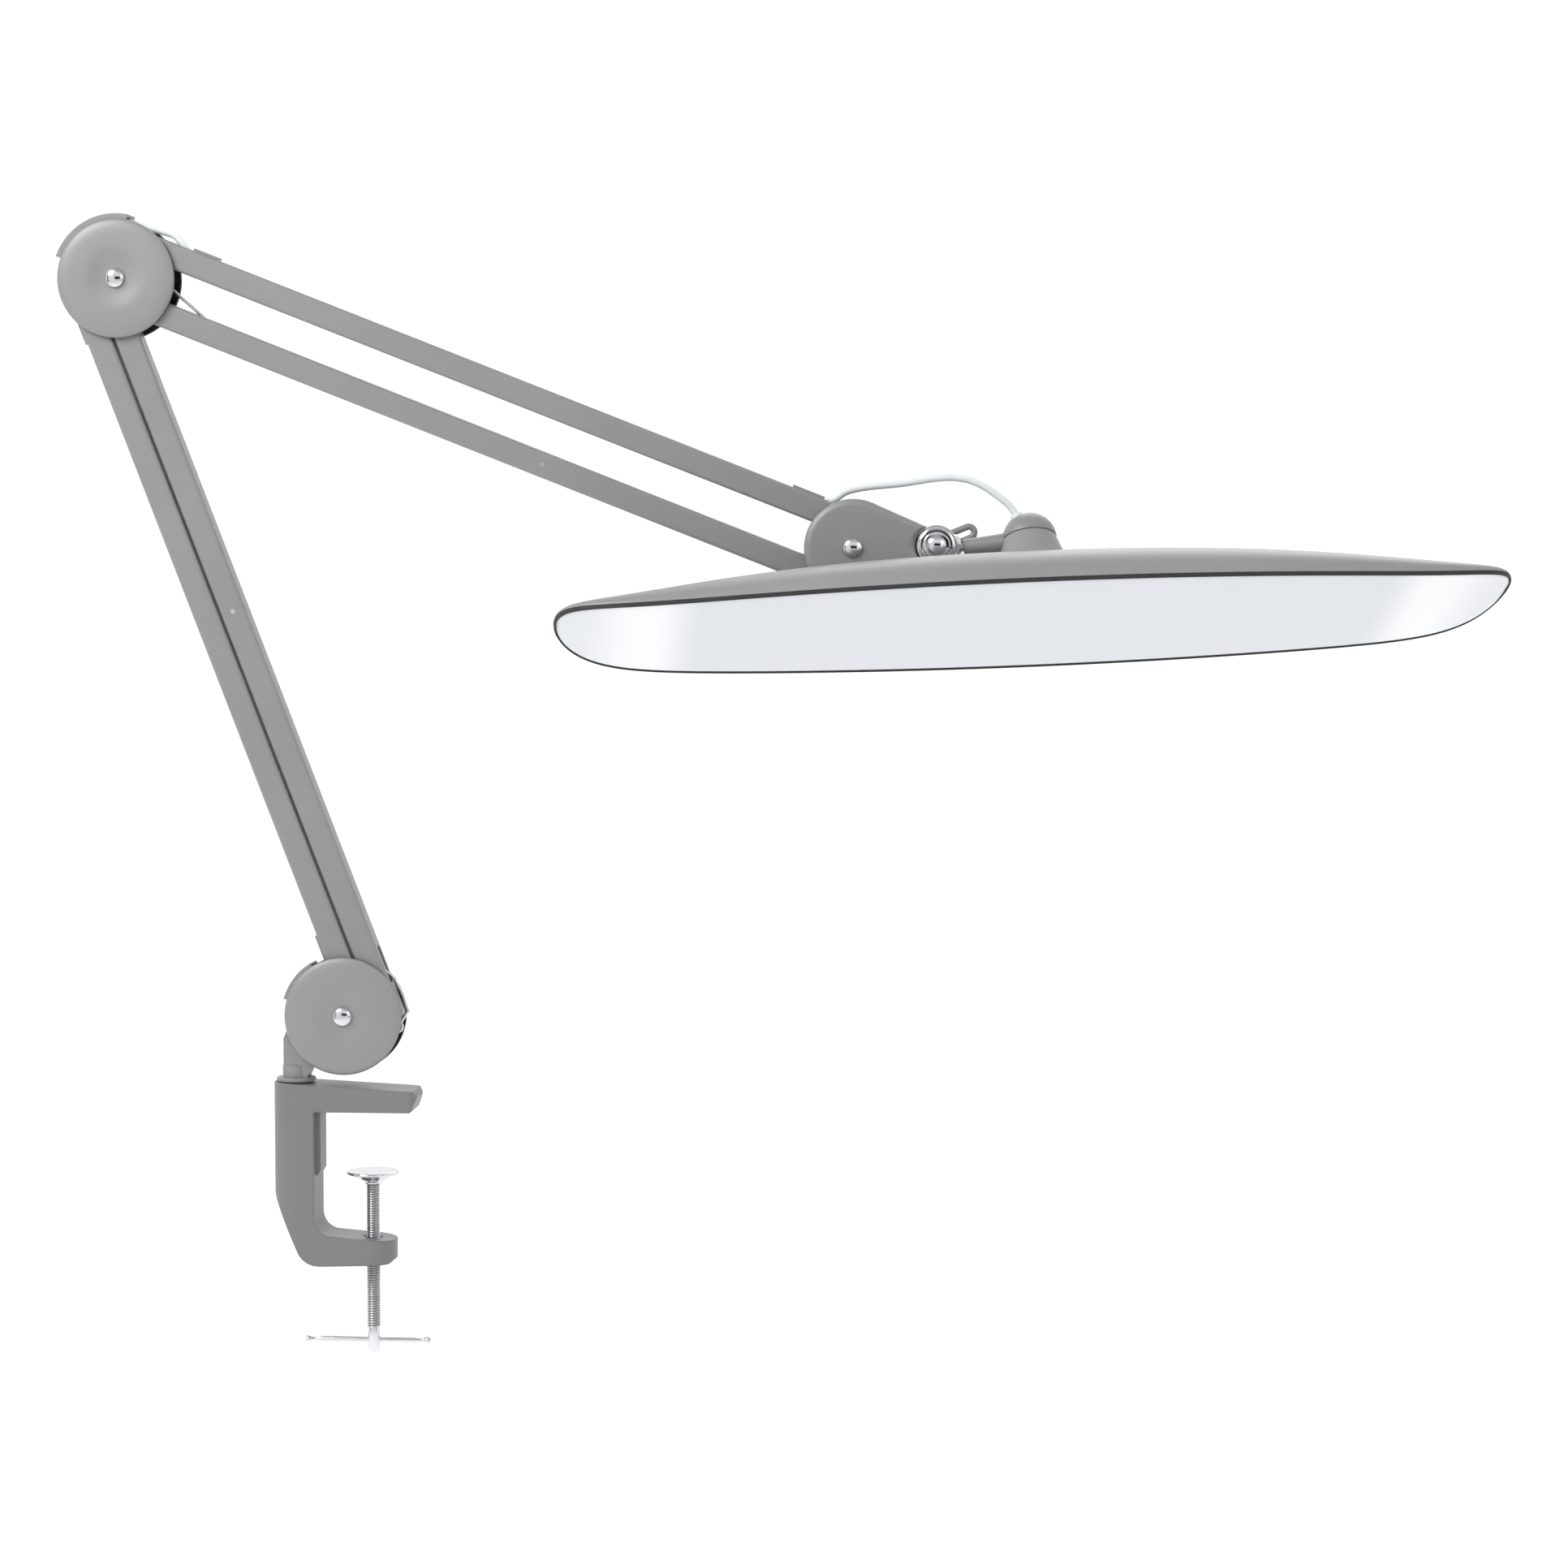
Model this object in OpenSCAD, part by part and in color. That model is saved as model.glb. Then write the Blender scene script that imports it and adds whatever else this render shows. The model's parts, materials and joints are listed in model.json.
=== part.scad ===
// Swing arm desk lamp: a desk clamp, two sprung parallel arms and a long slim LED head.
// X runs to the right, Y to the back and Z up. The arms stand in the plane Y = 0.
// The origin lies on the underside of the clamp's upper jaw, straight above the clamp screw.

/* [Arms] */
// Length of the lower arm between its pins
lower_len = 380; // [300:1:480]
// Length of the upper arm between its pins
upper_len = 380; // [300:1:480]
// Width of a square arm tube
tube_w = 13; // [11:0.5:16]
// Wall of an arm tube
tube_wall = 1.2; // [0.8:0.1:1.5]
// Outer corner radius of an arm tube
tube_corner = 1.8; // [1:0.1:2.2]
// Gap between the two tubes of the lower arm as it stands
bar_gap = 1.1; // [1:0.1:3]
// Lean of the lower arm, to the left of upright
lean = 21; // [0:1:23]
// Drop of the upper arm below level
drop = 21.5; // [-20:0.5:45]
// Diameter of a pivot pin
pin_d = 4; // [3:0.1:5]

/* [Knuckles] */
// Thickness of the inner plates that carry the pins
plate_t = 1.6; // [1.2:0.1:2.5]
// Height of a pressed cover
cover_h = 2.6; // [2:0.1:4]
// Sheet thickness of a cover
cover_t = 1.1; // [0.8:0.1:1.3]
// Diameter of the centre bolts
bolt_d = 6; // [5:0.5:7]
// Diameter of the domed bolt heads
bolt_head_d = 10; // [9:0.5:12]
// Distance from the end knuckle's centre to the tilt joint
tilt_reach = 42.5; // [38:0.5:55]
// Radius of the chrome tilt boss
boss_r = 10.4; // [9:0.1:12]

/* [Clamp] */
// Depth of the clamp, front to back
clamp_d = 26; // [24:1:34]
// Thickness of the upper jaw at its root
jaw_t = 15; // [14:0.5:22]
// Reach of the upper jaw past the screw
jaw_reach = 25; // [18:1:35]
// Height of the throat that takes the desk's edge
throat_h = 66; // [56:1:80]
// Distance from the screw to the throat's wall
throat_depth = 28.6; // [26:0.2:40]
// Width of the clamp's spine, left to right
spine_w = 22.6; // [20:0.2:28]
// Diameter of the clamp screw
screw_d = 7.4; // [6:0.1:8]
// How far below the upper jaw the pad stands
pad_open = 32; // [4:1:40]
// Diameter of the pad
pad_d = 27.5; // [22:0.5:30]
// Length of the clamp screw below the pad's top
screw_len = 95; // [90:1:110]
// Diameter of the turning bar
turn_bar_d = 2.8; // [2.2:0.1:3.4]
// Length of the turning bar
turn_bar_len = 66; // [50:1:90]
// Diameter of the post that the arms turn on
post_d = 10; // [8:0.5:12]

/* [Head] */
// Length of the head
head_l = 488; // [420:1:620]
// Width of the head
head_w = 105; // [90:1:130]
// Height of the shade above its rim
shade_h = 30.5; // [26:0.5:38]
// Wall of the shade
shade_wall = 2; // [1.6:0.1:3]
// Upward slope of the stem from the tilt joint
stem_rise = 6.8; // [-20:0.1:30]
// Roll of the head about the stem, face towards the front
head_roll = 24.5; // [0:0.5:45]
// Swivel of the head under its dome
head_swivel = 11; // [-30:1:60]
// Radius of the dome over the swivel
dome_r = 13.8; // [12:0.1:18]
// Length of the stem from the neck to the dome's centre
stem_len = 34.8; // [30:0.2:50]
// Diameter of the electric lead
lead_d = 3.8; // [3:0.1:4]

/* [Hidden] */

$fn = 64;
fit = 0.05;
side_gap = 0.5;

// Heights above and below the arm plane, in Y
half_tube = tube_w / 2;
plate_in = half_tube + side_gap;
plate_out = plate_in + plate_t;
rivet_head_h = 0.4;

// The pins of one arm at a joint stand pin_gap apart. Their pair makes this angle with the lower arm.
pair_to_lower = 28;
pin_gap = (tube_w + bar_gap) / sin(pair_to_lower);
end_r = half_tube + 0.3;
lower_dir = 90 + lean;
low_pair = pin_gap * [cos(-41), sin(-41)];
up_pair = pin_gap * [cos(75), sin(75)];

// Pin places from each knuckle's centre
base_rear_pin = pin_gap * [0.02, 0.717];
elbow_rear_pin = pin_gap * [-0.677, -0.123];
elbow_bottom_pin = pin_gap * [0.438, -0.479];
end_bottom_pin = pin_gap * [-0.413, -0.507];
base_stud_at = pin_gap * [0.906, -0.207];
elbow_stud_at = pin_gap * [0.383, 0.283];

cover_r = norm(elbow_rear_pin + low_pair) + end_r + 0.2;
plate_r = cover_r - 0.2;
end_cover_r = pin_gap * 0.833;
hub_r = 9;
sleeve_r = 5;
bolt_r = bolt_d / 2;
pin_r = pin_d / 2;
stud_r = 1.5;
wire_d = 1.6;
coil_d = 8.6;
lead_ring_r = plate_r - 0.8;
guard_in = lead_ring_r + lead_d / 2 + 0.2;
guard_out = guard_in + 1.6;

// Places in the arm plane, as [X, Z]
post_x = -throat_depth - spine_w / 2;
flange_t = 2;
cover_lift = 4;
base_at = [post_x + 26.2, jaw_t + cover_r + cover_lift];
p_base_rear = base_at + base_rear_pin;
p_base_front = p_base_rear + low_pair;
p_elbow_rear = p_base_rear + lower_len * [cos(lower_dir), sin(lower_dir)];
p_elbow_front = p_elbow_rear + low_pair;
elbow_at = p_elbow_rear - elbow_rear_pin;
p_elbow_bottom = elbow_at + elbow_bottom_pin;
p_elbow_top = p_elbow_bottom + up_pair;
p_end_bottom = p_elbow_bottom + upper_len * [cos(-drop), sin(-drop)];
p_end_top = p_end_bottom + up_pair;
end_at = p_end_bottom - end_bottom_pin;
tilt_at = end_at + [tilt_reach, 1.2];
neck_drop = 1;
neck_at = tilt_at + [boss_r + 2.1, -neck_drop];
stem_r_neck = 4;
stem_r_dome = 5;

// Clamp
screw_r = screw_d / 2;
screw_bottom = -pad_open - screw_len;
turn_boss_d = 6.4;
turn_boss_h = 12.5;
turn_bar_at = -3;
lower_jaw_t = 14.5;
jaw_end_r = clamp_d / 2 - 0.5;
post_depth = 30;
bush_t = 1.5;

// Head, from the dome's split plane downwards
crown_drop = 15;
rim_z = -crown_drop - shade_h;
flare_h = crown_drop + 3;
flare_r = dome_r + 5.5;
gasket_t = 1;
diffuser_t = 2;
side_taper = 0.35;
side_power = 18;
back_taper = 0.42;
back_power = 3.5;
tip_lift = 9.8;
tip_power = 12;
pin_tube_r = 4;
pin_bore_r = 2.6;
rings_long = 40;
rings_round = 12;
tray_z = rim_z + 8;
post_at = head_l * 0.22;

steel = "#c9ccd0";
paint = "#a2a3a5";
dark = "#232426";
chrome = "#e3e6ea";
nylon = "#e8e6df";
milk = "#ccd8e4";
cable_white = "#eef2f4";

// ---- Shared shapes ----

// A slab of a flat outline, drawn in X and Z, from y0 to y0 + t.
module slab(y0, t) {
    translate([0, y0 + t, 0]) rotate([90, 0, 0]) linear_extrude(t) children();
}

module rod_y(at, y0, y1, r) {
    translate([at.x, y1, at.y]) rotate([90, 0, 0]) cylinder(h = y1 - y0, r = r);
}

// A turned shape on an axis along Y; its profile's height points outwards, side -1 is the near side.
module turned_y(at, y0, side) {
    translate([at.x, side * y0, at.y]) rotate([side < 0 ? 90 : -90, 0, 0]) rotate_extrude() children();
}

// Puts an arm's own frame, X along the arm and Z across it, at its first pin.
module on_arm(at, dir) {
    translate([at.x, 0, at.y]) rotate([0, -dir, 0]) children();
}

module rounded_square(w, corner) {
    offset(r = corner, $fn = 32) square(w - 2 * corner, center = true);
}

module arm_tube(len, slots) {
    difference() {
        intersection() {
            translate([-half_tube - 1, 0, 0]) rotate([90, 0, 90])
                linear_extrude(len + tube_w + 2) rounded_square(tube_w, tube_corner);
            union() {
                translate([0, -tube_w, -tube_w]) cube([len, 2 * tube_w, 2 * tube_w]);
                rod_y([0, 0], -tube_w, tube_w, end_r);
                rod_y([len, 0], -tube_w, tube_w, end_r);
            }
        }
        translate([-tube_w, 0, 0]) rotate([90, 0, 90])
            linear_extrude(len + 2 * tube_w) square(tube_w - 2 * tube_wall, center = true);
        for (x = [0, len]) rod_y([x, 0], -tube_w, tube_w, pin_r + fit);
        for (s = slots) translate([s[0], -2.6, s[1] > 0 ? 0 : -tube_w]) cube([s[2], 5.2, tube_w]);
        for (s = slots) if (s[3] > 0) rod_y([s[3], 0], -tube_w, tube_w, 1.25);
    }
}

module tube_bushes(len) {
    for (x = [0, len]) difference() {
        rod_y([x, 0], -half_tube + tube_wall, half_tube - tube_wall, 4.4);
        rod_y([x, 0], -tube_w, tube_w, pin_r + fit);
    }
}

// A pivot rivet through both inner plates, with a flat head on each.
module rivet(at) {
    rod_y(at, -plate_out, plate_out, pin_r);
    rod_y(at, -plate_out - rivet_head_h, -plate_out, pin_r + 1);
    rod_y(at, plate_out, plate_out + rivet_head_h, pin_r + 1);
}

// Height of a cover's outer face at radius r: a crowned disc with a flat-bottomed round dish at its middle.
dish_r = 17;
dish_flat_r = bolt_head_d / 2 + 0.5;
dish_depth = 1.1;
function dish_step(r) = min(max(0, (r - dish_flat_r) / (dish_r - dish_flat_r)), 1);
function cover_out(r) = cover_h * sqrt(max(0, 1 - pow(r / cover_r, 8)))
    - dish_depth * (1 + cos(180 * dish_step(r))) / 2;

module cover_profile() {
    rim_w = 1.6;
    steps = 24;
    inner_r = cover_r - rim_w;
    outer = [for (i = [0 : steps]) let (r = bolt_r + fit + (cover_r - bolt_r - fit) * sin(90 * i / steps))
        [r, cover_out(r)]];
    inner = [for (i = [steps : -2 : 0]) let (r = bolt_r + fit + (inner_r - bolt_r - fit) * i / steps)
        [r, cover_out(r) - cover_t]];
    polygon(concat(outer, [[inner_r, 0]], inner));
}

module round_cover(at, side) {
    turned_y(at, plate_out, side) cover_profile();
}

// Seat of a bolt head on a cover's dish
bolt_seat = plate_out + cover_h - dish_depth;

module dome_head() {
    r = bolt_head_d / 2;
    rise = 2.8;
    arc = [for (i = [0 : 12]) [r * cos(90 * i / 12), 0.6 + (rise - 0.6) * sin(90 * i / 12)]];
    polygon(concat([[0, 0], [r, 0]], arc));
}

module centre_bolt(at, seat) {
    turned_y(at, seat, -1) dome_head();
    rod_y(at, -seat, seat, bolt_r);
}

module centre_nut(at, seat) {
    difference() {
        turned_y(at, seat, 1) dome_head();
        rod_y(at, seat - 3, seat, bolt_r);
    }
}

// A curved channel over the rim of a knuckle's plates, from angle a0 to a1.
module guard(at, a0, a1, r_in, r_out) {
    width = plate_out - 0.2;
    translate([at.x, 0, at.y]) rotate([90, -a0, 0]) rotate_extrude(angle = a1 - a0) {
        translate([r_in, -width]) square([r_out - r_in, 2 * width]);
        for (y = [-width, width - plate_t + 0.2])
            translate([plate_r, y]) square([r_in - plate_r + 0.1, plate_t - 0.2]);
    }
}

// A spring strip over part of a tube's slot, along X, with one leg bent down into the slot at x_leg
module strip_clip(x0, x1, x_leg) {
    lift = half_tube;
    translate([x0, -4, lift]) cube([x1 - x0, 8, 1.3]);
    translate([x_leg, -2.3, lift - tube_wall - 0.6]) cube([1.2, 4.6, 1.2 + tube_wall]);
}

module bar_between(a, b, d) {
    v = b - a;
    translate([a.x, 0, a.y]) rotate([0, 90 - atan2(v.y, v.x), 0]) cylinder(h = norm(v), d = d);
}

module ring_y(at, r, d) {
    translate([at.x, 0, at.y]) rotate([90, 0, 0]) rotate_extrude() translate([r, 0]) circle(d = d, $fn = 24);
}

// A balance spring inside a tube: a wire from a stud on the knuckle along route, the coil and a tail loop.
// The arm's direction is dir, and the coil lies on the line from axis_at.
module balance_spring(stud, route, axis_at, dir) {
    u = [cos(dir), sin(dir)];
    c0 = axis_at + coil_start * u;
    c1 = axis_at + (coil_start + coil_length) * u;
    tail = axis_at + tail_pin * u;
    loop_r = stud_r + wire_d / 2 + 0.1;
    tie = coil_d / 2 - wire_d / 2;
    last = len(route) - 1;
    ring_y(stud, loop_r, wire_d);
    bar_between(stud + loop_r * (route[0] - stud) / norm(route[0] - stud), route[0], wire_d);
    for (i = [1 : last]) bar_between(route[i - 1], route[i], wire_d);
    for (p = route) translate([p.x, 0, p.y]) sphere(d = wire_d + 0.2, $fn = 24);
    bar_between(route[last], c0 + 2 * u, wire_d);
    difference() {
        bar_between(c0, c1, coil_d);
        bar_between(c0 - u, c1 + u, coil_d - 2 * wire_d);
    }
    for (p = [c0 + 2 * u, c1 - 2 * u]) rod_y(p, -tie, tie, wire_d / 2 + 0.15);
    bar_between(c1 - 2 * u, tail - loop_r * u, wire_d);
    ring_y(tail, loop_r, wire_d);
}

// ---- Cords: a round tube swept along its route's points ----

function unit(v) = v / norm(v);
function tangent(p, i) = unit(p[min(i + 1, len(p) - 1)] - p[max(i - 1, 0)]);
function ring_at(c, t, r, n) = let (s = [0, 1, 0], w = unit(cross(s, t)), q = cross(t, w))
    [for (k = [0 : n - 1]) c + r * (cos(360 * k / n) * w + sin(360 * k / n) * q)];

module cord(p, d, sides) {
    m = len(p);
    pts = [for (i = [0 : m - 1]) each ring_at(p[i], tangent(p, i), d / 2, sides)];
    sides_faces = [for (i = [0 : m - 2]) for (k = [0 : sides - 1])
        [i * sides + k, (i + 1) * sides + k, (i + 1) * sides + (k + 1) % sides, i * sides + (k + 1) % sides]];
    first = [[for (k = [0 : sides - 1]) k]];
    last = [[for (k = [sides - 1 : -1 : 0]) (m - 1) * sides + k]];
    polyhedron(pts, concat(sides_faces, first, last));
}

// A point beside an arm: so far along it from a pin, and off to the side its slots are on
function lifted(at, along, dir, off) = [at.x + along * cos(dir) - off * sin(dir), 0,
    at.y + along * sin(dir) + off * cos(dir)];

// Route of the visible lead, from the upper tube's slot to the top of the dome
head_lead_route = [
    lifted(p_end_top, -18.6, -drop, 0.5), lifted(p_end_top, -15, -drop, 2.2),
    lifted(p_end_top, -11.6, -drop, 5.4), lifted(p_end_top, -8.6, -drop, 8.8),
    for (p = [[-47.5, 27.1], [-42.3, 28.9], [-34, 30.2], [-25.7, 31], [-17.3, 31.8], [-9, 33.1], [-0.7, 34.3],
        [7.7, 34.7], [15.8, 33.6], [21.3, 31.4], [26.1, 28.6], [30.3, 25.6], [33.9, 22.9], [36.7, 20.3],
        [38.7, 17.6], [40.8, 14]]) [tilt_at.x + p.x, 0, tilt_at.y + p.y],
];

// ---- Clamp ----

// Side view of the clamp, in X and Z
module clamp_side() {
    left = -throat_depth - spine_w;
    low = -throat_h - lower_jaw_t;
    offset(r = 1.2, $fn = 32) offset(delta = -1.2) polygon([
        [left, jaw_t], [jaw_reach - 2, jaw_t - 4], [jaw_reach, jaw_t - 7], [jaw_reach - 3, 0],
        [-throat_depth, 0], [-throat_depth, -throat_h + 11],
        for (a = [180 : 15 : 270]) [-throat_depth + 9.5 + 9.5 * cos(a), -throat_h + 10.7 + 9.5 * sin(a)],
        [jaw_end_r, -throat_h - 1.5], [jaw_end_r + 1, -throat_h - 3], [jaw_end_r + 1, low + 4],
        [jaw_end_r - 3, low + 1], [-throat_depth + 4, low],
        for (a = [270 : -15 : 205]) [-throat_depth + 2 + 12 * cos(a), low + 12 + 12 * sin(a)],
        [left, -throat_h + 24],
    ]);
}

// Plan of the clamp, in X and Y: a round back and, at reach, a round or square front
module clamp_plan(reach, front_r) {
    back_r = clamp_d / 2;
    union() {
        translate([-throat_depth - spine_w + back_r, 0]) circle(r = back_r, $fn = 72);
        translate([-throat_depth - spine_w + back_r, -back_r]) square([spine_w, clamp_d]);
        hull() for (y = [-1, 1]) {
            translate([-throat_depth - 2, y * (back_r - 1)]) circle(r = 1, $fn = 24);
            translate([reach - front_r, y * (back_r - front_r)]) circle(r = front_r, $fn = 60);
        }
    }
}

module clamp_frame() color(paint) {
    floor_z = -throat_h - lower_jaw_t;
    difference() {
        union() {
            intersection() {
                slab(-clamp_d / 2, clamp_d) clamp_side();
                union() {
                    translate([0, 0, -34]) linear_extrude(34 + jaw_t + 1) clamp_plan(jaw_reach, 5);
                    translate([0, 0, floor_z - 1]) linear_extrude(-floor_z + 1 - 34)
                        clamp_plan(jaw_end_r, jaw_end_r - 0.5);
                }
            }
            slab(-8, 16) polygon([
                [-throat_depth - 1, 0], [-throat_depth + 2.6, 0], [-throat_depth + 2.6, -31],
                [-throat_depth + 1.2, -33.5], [-throat_depth - 1, -33.5]]);
        }
        translate([0, 0, floor_z - 1]) cylinder(h = lower_jaw_t + 4, r = screw_r + fit);
        translate([0, 0, -throat_h - 2]) cylinder(h = 6, r1 = screw_r + 0.4, r2 = screw_r + 5);
        translate([post_x, 0, jaw_t - post_depth]) cylinder(h = post_depth + 1, r = post_d / 2 + bush_t);
    }
}

module post_bush() color(nylon) {
    translate([post_x, 0, jaw_t - post_depth]) difference() {
        cylinder(h = post_depth - 1, r = post_d / 2 + bush_t);
        translate([0, 0, -1]) cylinder(h = post_depth + 2, r = post_d / 2 + fit);
    }
}

pad_h = 6.6;
pad_socket = 3.5;
module pressure_pad() color(chrome) {
    r = pad_d / 2;
    translate([0, 0, -pad_open]) difference() {
        rotate_extrude() polygon([
            [0, 0], [r - 0.8, 0], [r - 0.2, -0.4], [r, -1], [r - 0.4, -1.6], [r - 4, -2.1],
            [r - 5, -3], [r - 6.5, -4.4], [screw_r + 2.2, -5.8], [screw_r + 1, -pad_h], [0, -pad_h]]);
        translate([0, 0, -pad_h - 1]) cylinder(h = pad_socket + 1, r = screw_r + fit);
    }
}

module clamp_screw() color(chrome) {
    top = -pad_open - pad_h + pad_socket - 0.2;
    thread_end = screw_bottom + turn_boss_h;
    difference() {
        union() {
            translate([0, 0, thread_end]) cylinder(h = top - thread_end, r = screw_r);
            translate([0, 0, screw_bottom]) cylinder(h = turn_boss_h + 0.5, r = turn_boss_d / 2);
        }
        translate([-screw_d, 0, screw_bottom + turn_boss_h / 2]) rotate([0, 90, 0])
            cylinder(h = 2 * screw_d, r = turn_bar_d / 2 + fit);
    }
}

module turning_bar() color(chrome) {
    half = turn_bar_len / 2;
    crimp = 7.5;
    translate([turn_bar_at, 0, screw_bottom + turn_boss_h / 2]) {
        translate([-half + crimp, 0, 0]) rotate([0, 90, 0])
            cylinder(h = turn_bar_len - 2 * crimp, r = turn_bar_d / 2);
        for (side = [0, 1]) mirror([side, 0, 0]) {
            translate([half - crimp - 0.2, -1.7, -0.9]) cube([crimp + 0.2 - 2, 3.4, 1.8]);
            translate([half - 2.2, 0, 0]) rotate([0, 90, 0]) cylinder(h = 2.2, r = turn_bar_d / 2 + 0.2);
        }
    }
}

// ---- Base knuckle ----

module post_spindle() color(steel) {
    translate([post_x, 0, jaw_t - post_depth + 1]) cylinder(h = post_depth + flange_t + 2, r = post_d / 2);
}

module post_flange() color(paint) {
    translate([post_x, 0, jaw_t + 0.1]) difference() {
        union() {
            cylinder(h = flange_t - 0.6, r = 10.2);
            translate([0, 0, flange_t - 0.6]) cylinder(h = 0.5, r1 = 10.2, r2 = 9.6);
        }
        translate([0, 0, -1]) cylinder(h = flange_t + 2, r = post_d / 2 + fit);
    }
}

module base_bracket() color(paint) {
    foot_z = jaw_t + flange_t;
    foot_r = 5.6;
    difference() {
        union() {
            slab(-foot_r, 2 * foot_r) polygon([
                [post_x - foot_r, foot_z], [post_x + foot_r + 1, foot_z], [post_x + foot_r + 3, foot_z + 4],
                [post_x + foot_r + 8, foot_z + 10], [base_at.x - 2, base_at.y - hub_r + 0.5],
                [base_at.x, base_at.y], [base_at.x - hub_r + 1, base_at.y + 4], [post_x + 2, base_at.y - 1],
                [post_x - 3, base_at.y - 6], [post_x - foot_r, base_at.y - 12]]);
            rod_y(base_at, -plate_in, plate_in, hub_r);
            translate([post_x, 0, foot_z]) cylinder(h = 6, r = foot_r + 1.4);
        }
        rod_y(base_at, -tube_w, tube_w, bolt_r + fit);
        translate([post_x, 0, foot_z - 1]) cylinder(h = 4.1, r = post_d / 2 + fit);
    }
}

// The two inner plates of a knuckle, with holes for its pins, its bolt and its stud
module plate_pair(at, r, pins, stud) {
    for (y = [-plate_out, plate_in]) difference() {
        rod_y(at, y, y + plate_t, r);
        rod_y(at, y - 1, y + plate_t + 1, bolt_r + fit);
        for (p = pins) rod_y(p, y - 1, y + plate_t + 1, pin_r + fit);
        rod_y(at + stud, y - 1, y + plate_t + 1, stud_r);
    }
}

module base_plates() color(dark) plate_pair(base_at, plate_r, [p_base_rear, p_base_front], base_stud_at);
module base_cover_near() color(paint) round_cover(base_at, -1);
module base_cover_far() color(paint) round_cover(base_at, 1);
module base_bolt() color(chrome) centre_bolt(base_at, bolt_seat);
module base_nut() color(chrome) centre_nut(base_at, bolt_seat);
module base_pins() color(steel) for (p = [p_base_rear, p_base_front]) rivet(p);
module base_guard() color(paint) guard(base_at, 122, 164, plate_r + 0.9, plate_r + 1.9);
module base_spring_stud() color(steel) rod_y(base_at + base_stud_at, -plate_out, plate_out, stud_r);

// ---- Lower arm ----

coil_start = 60;
coil_length = 150;
lead_slot = 15.5;
tail_pin = coil_start + coil_length + 12;

module lower_rear_tube() color(paint) {
    on_arm(p_base_rear, lower_dir)
        arm_tube(lower_len, [[8, 1, lead_slot, 0], [lower_len - 6.5 - lead_slot, 1, lead_slot, 0]]);
}

module lower_rear_bushes() color(nylon) on_arm(p_base_rear, lower_dir) tube_bushes(lower_len);

module lower_front_tube() color(paint) {
    on_arm(p_base_front, lower_dir) arm_tube(lower_len, [[14, -1, 20, tail_pin]]);
}

module lower_front_bushes() color(nylon) on_arm(p_base_front, lower_dir) tube_bushes(lower_len);

module lower_spring() color(chrome) {
    u = [cos(lower_dir), sin(lower_dir)];
    v = [sin(lower_dir), -cos(lower_dir)];
    round_pin = [for (p = [[-3.2, 8.8], [6, 9.2], [15, 8.3], [25, 3], [38, 0]]) p_base_front + p[0] * u + p[1] * v];
    balance_spring(base_at + base_stud_at, round_pin, p_base_front, lower_dir);
}

module lower_spring_pin() color(steel) {
    on_arm(p_base_front, lower_dir) rod_y([tail_pin, 0], -half_tube, half_tube, 1.25);
}

// The lead inside a tube, between its two slots
module inner_lead(len) {
    start = 22;
    translate([start, 0, 0]) rotate([0, 90, 0]) cylinder(h = len - 2 * start, d = lead_d);
}

module lower_lead() color(cable_white) on_arm(p_base_rear, lower_dir) inner_lead(lower_len);
module base_clip() color(paint) on_arm(p_base_rear, lower_dir) strip_clip(7.5, 24, 8.2);

module elbow_lower_clip() color(paint) {
    on_arm(p_base_rear, lower_dir) strip_clip(lower_len - 29, lower_len - 15, lower_len - 21.8);
}

// ---- Elbow ----

module elbow_plates() color(dark) {
    plate_pair(elbow_at, plate_r, [p_elbow_rear, p_elbow_front, p_elbow_bottom, p_elbow_top], elbow_stud_at);
}

module elbow_cover_near() color(paint) round_cover(elbow_at, -1);
module elbow_cover_far() color(paint) round_cover(elbow_at, 1);
module elbow_bolt() color(chrome) centre_bolt(elbow_at, bolt_seat);
module elbow_nut() color(chrome) centre_nut(elbow_at, bolt_seat);

module elbow_spacer() color(dark) difference() {
    rod_y(elbow_at, -plate_in, plate_in, sleeve_r);
    rod_y(elbow_at, -tube_w, tube_w, bolt_r + fit);
}

module elbow_pins() color(steel) {
    for (p = [p_elbow_rear, p_elbow_front, p_elbow_bottom, p_elbow_top]) rivet(p);
}

module elbow_guard() color(paint) guard(elbow_at, 79, 160, guard_in, guard_out);
module elbow_spring_stud() color(steel) rod_y(elbow_at + elbow_stud_at, -plate_out, plate_out, stud_r);

// The lead leaves the rear tube's slot, runs round under the guard and enters the top tube's slot.
function in_elbow(r, a) = [elbow_at.x + r * cos(a), 0, elbow_at.y + r * sin(a)];
elbow_route = [
    lifted(p_elbow_rear, -21, lower_dir, 0.3), lifted(p_elbow_rear, -16, lower_dir, 2),
    lifted(p_elbow_rear, -12, lower_dir, 5.2), lifted(p_elbow_rear, -9, lower_dir, 8.6),
    for (a = [196 : -10 : 66]) in_elbow(lead_ring_r, a),
    lifted(p_elbow_top, 2.5, -drop, 10.2), lifted(p_elbow_top, 8, -drop, 8.6),
    lifted(p_elbow_top, 13, -drop, 5.6), lifted(p_elbow_top, 17.2, -drop, 2.6),
    lifted(p_elbow_top, 21, -drop, 0.6),
];

module elbow_lead() color(cable_white) cord(elbow_route, lead_d, 8);

// ---- Upper arm ----

module upper_top_tube() color(paint) {
    on_arm(p_elbow_top, -drop)
        arm_tube(upper_len, [[6.5, 1, lead_slot + 2, 0], [upper_len - 6.5 - lead_slot, 1, lead_slot, 0]]);
}

module upper_top_bushes() color(nylon) on_arm(p_elbow_top, -drop) tube_bushes(upper_len);

module upper_bottom_tube() color(paint) {
    on_arm(p_elbow_bottom, -drop) arm_tube(upper_len, [[25, 1, 20, tail_pin]]);
}

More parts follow.
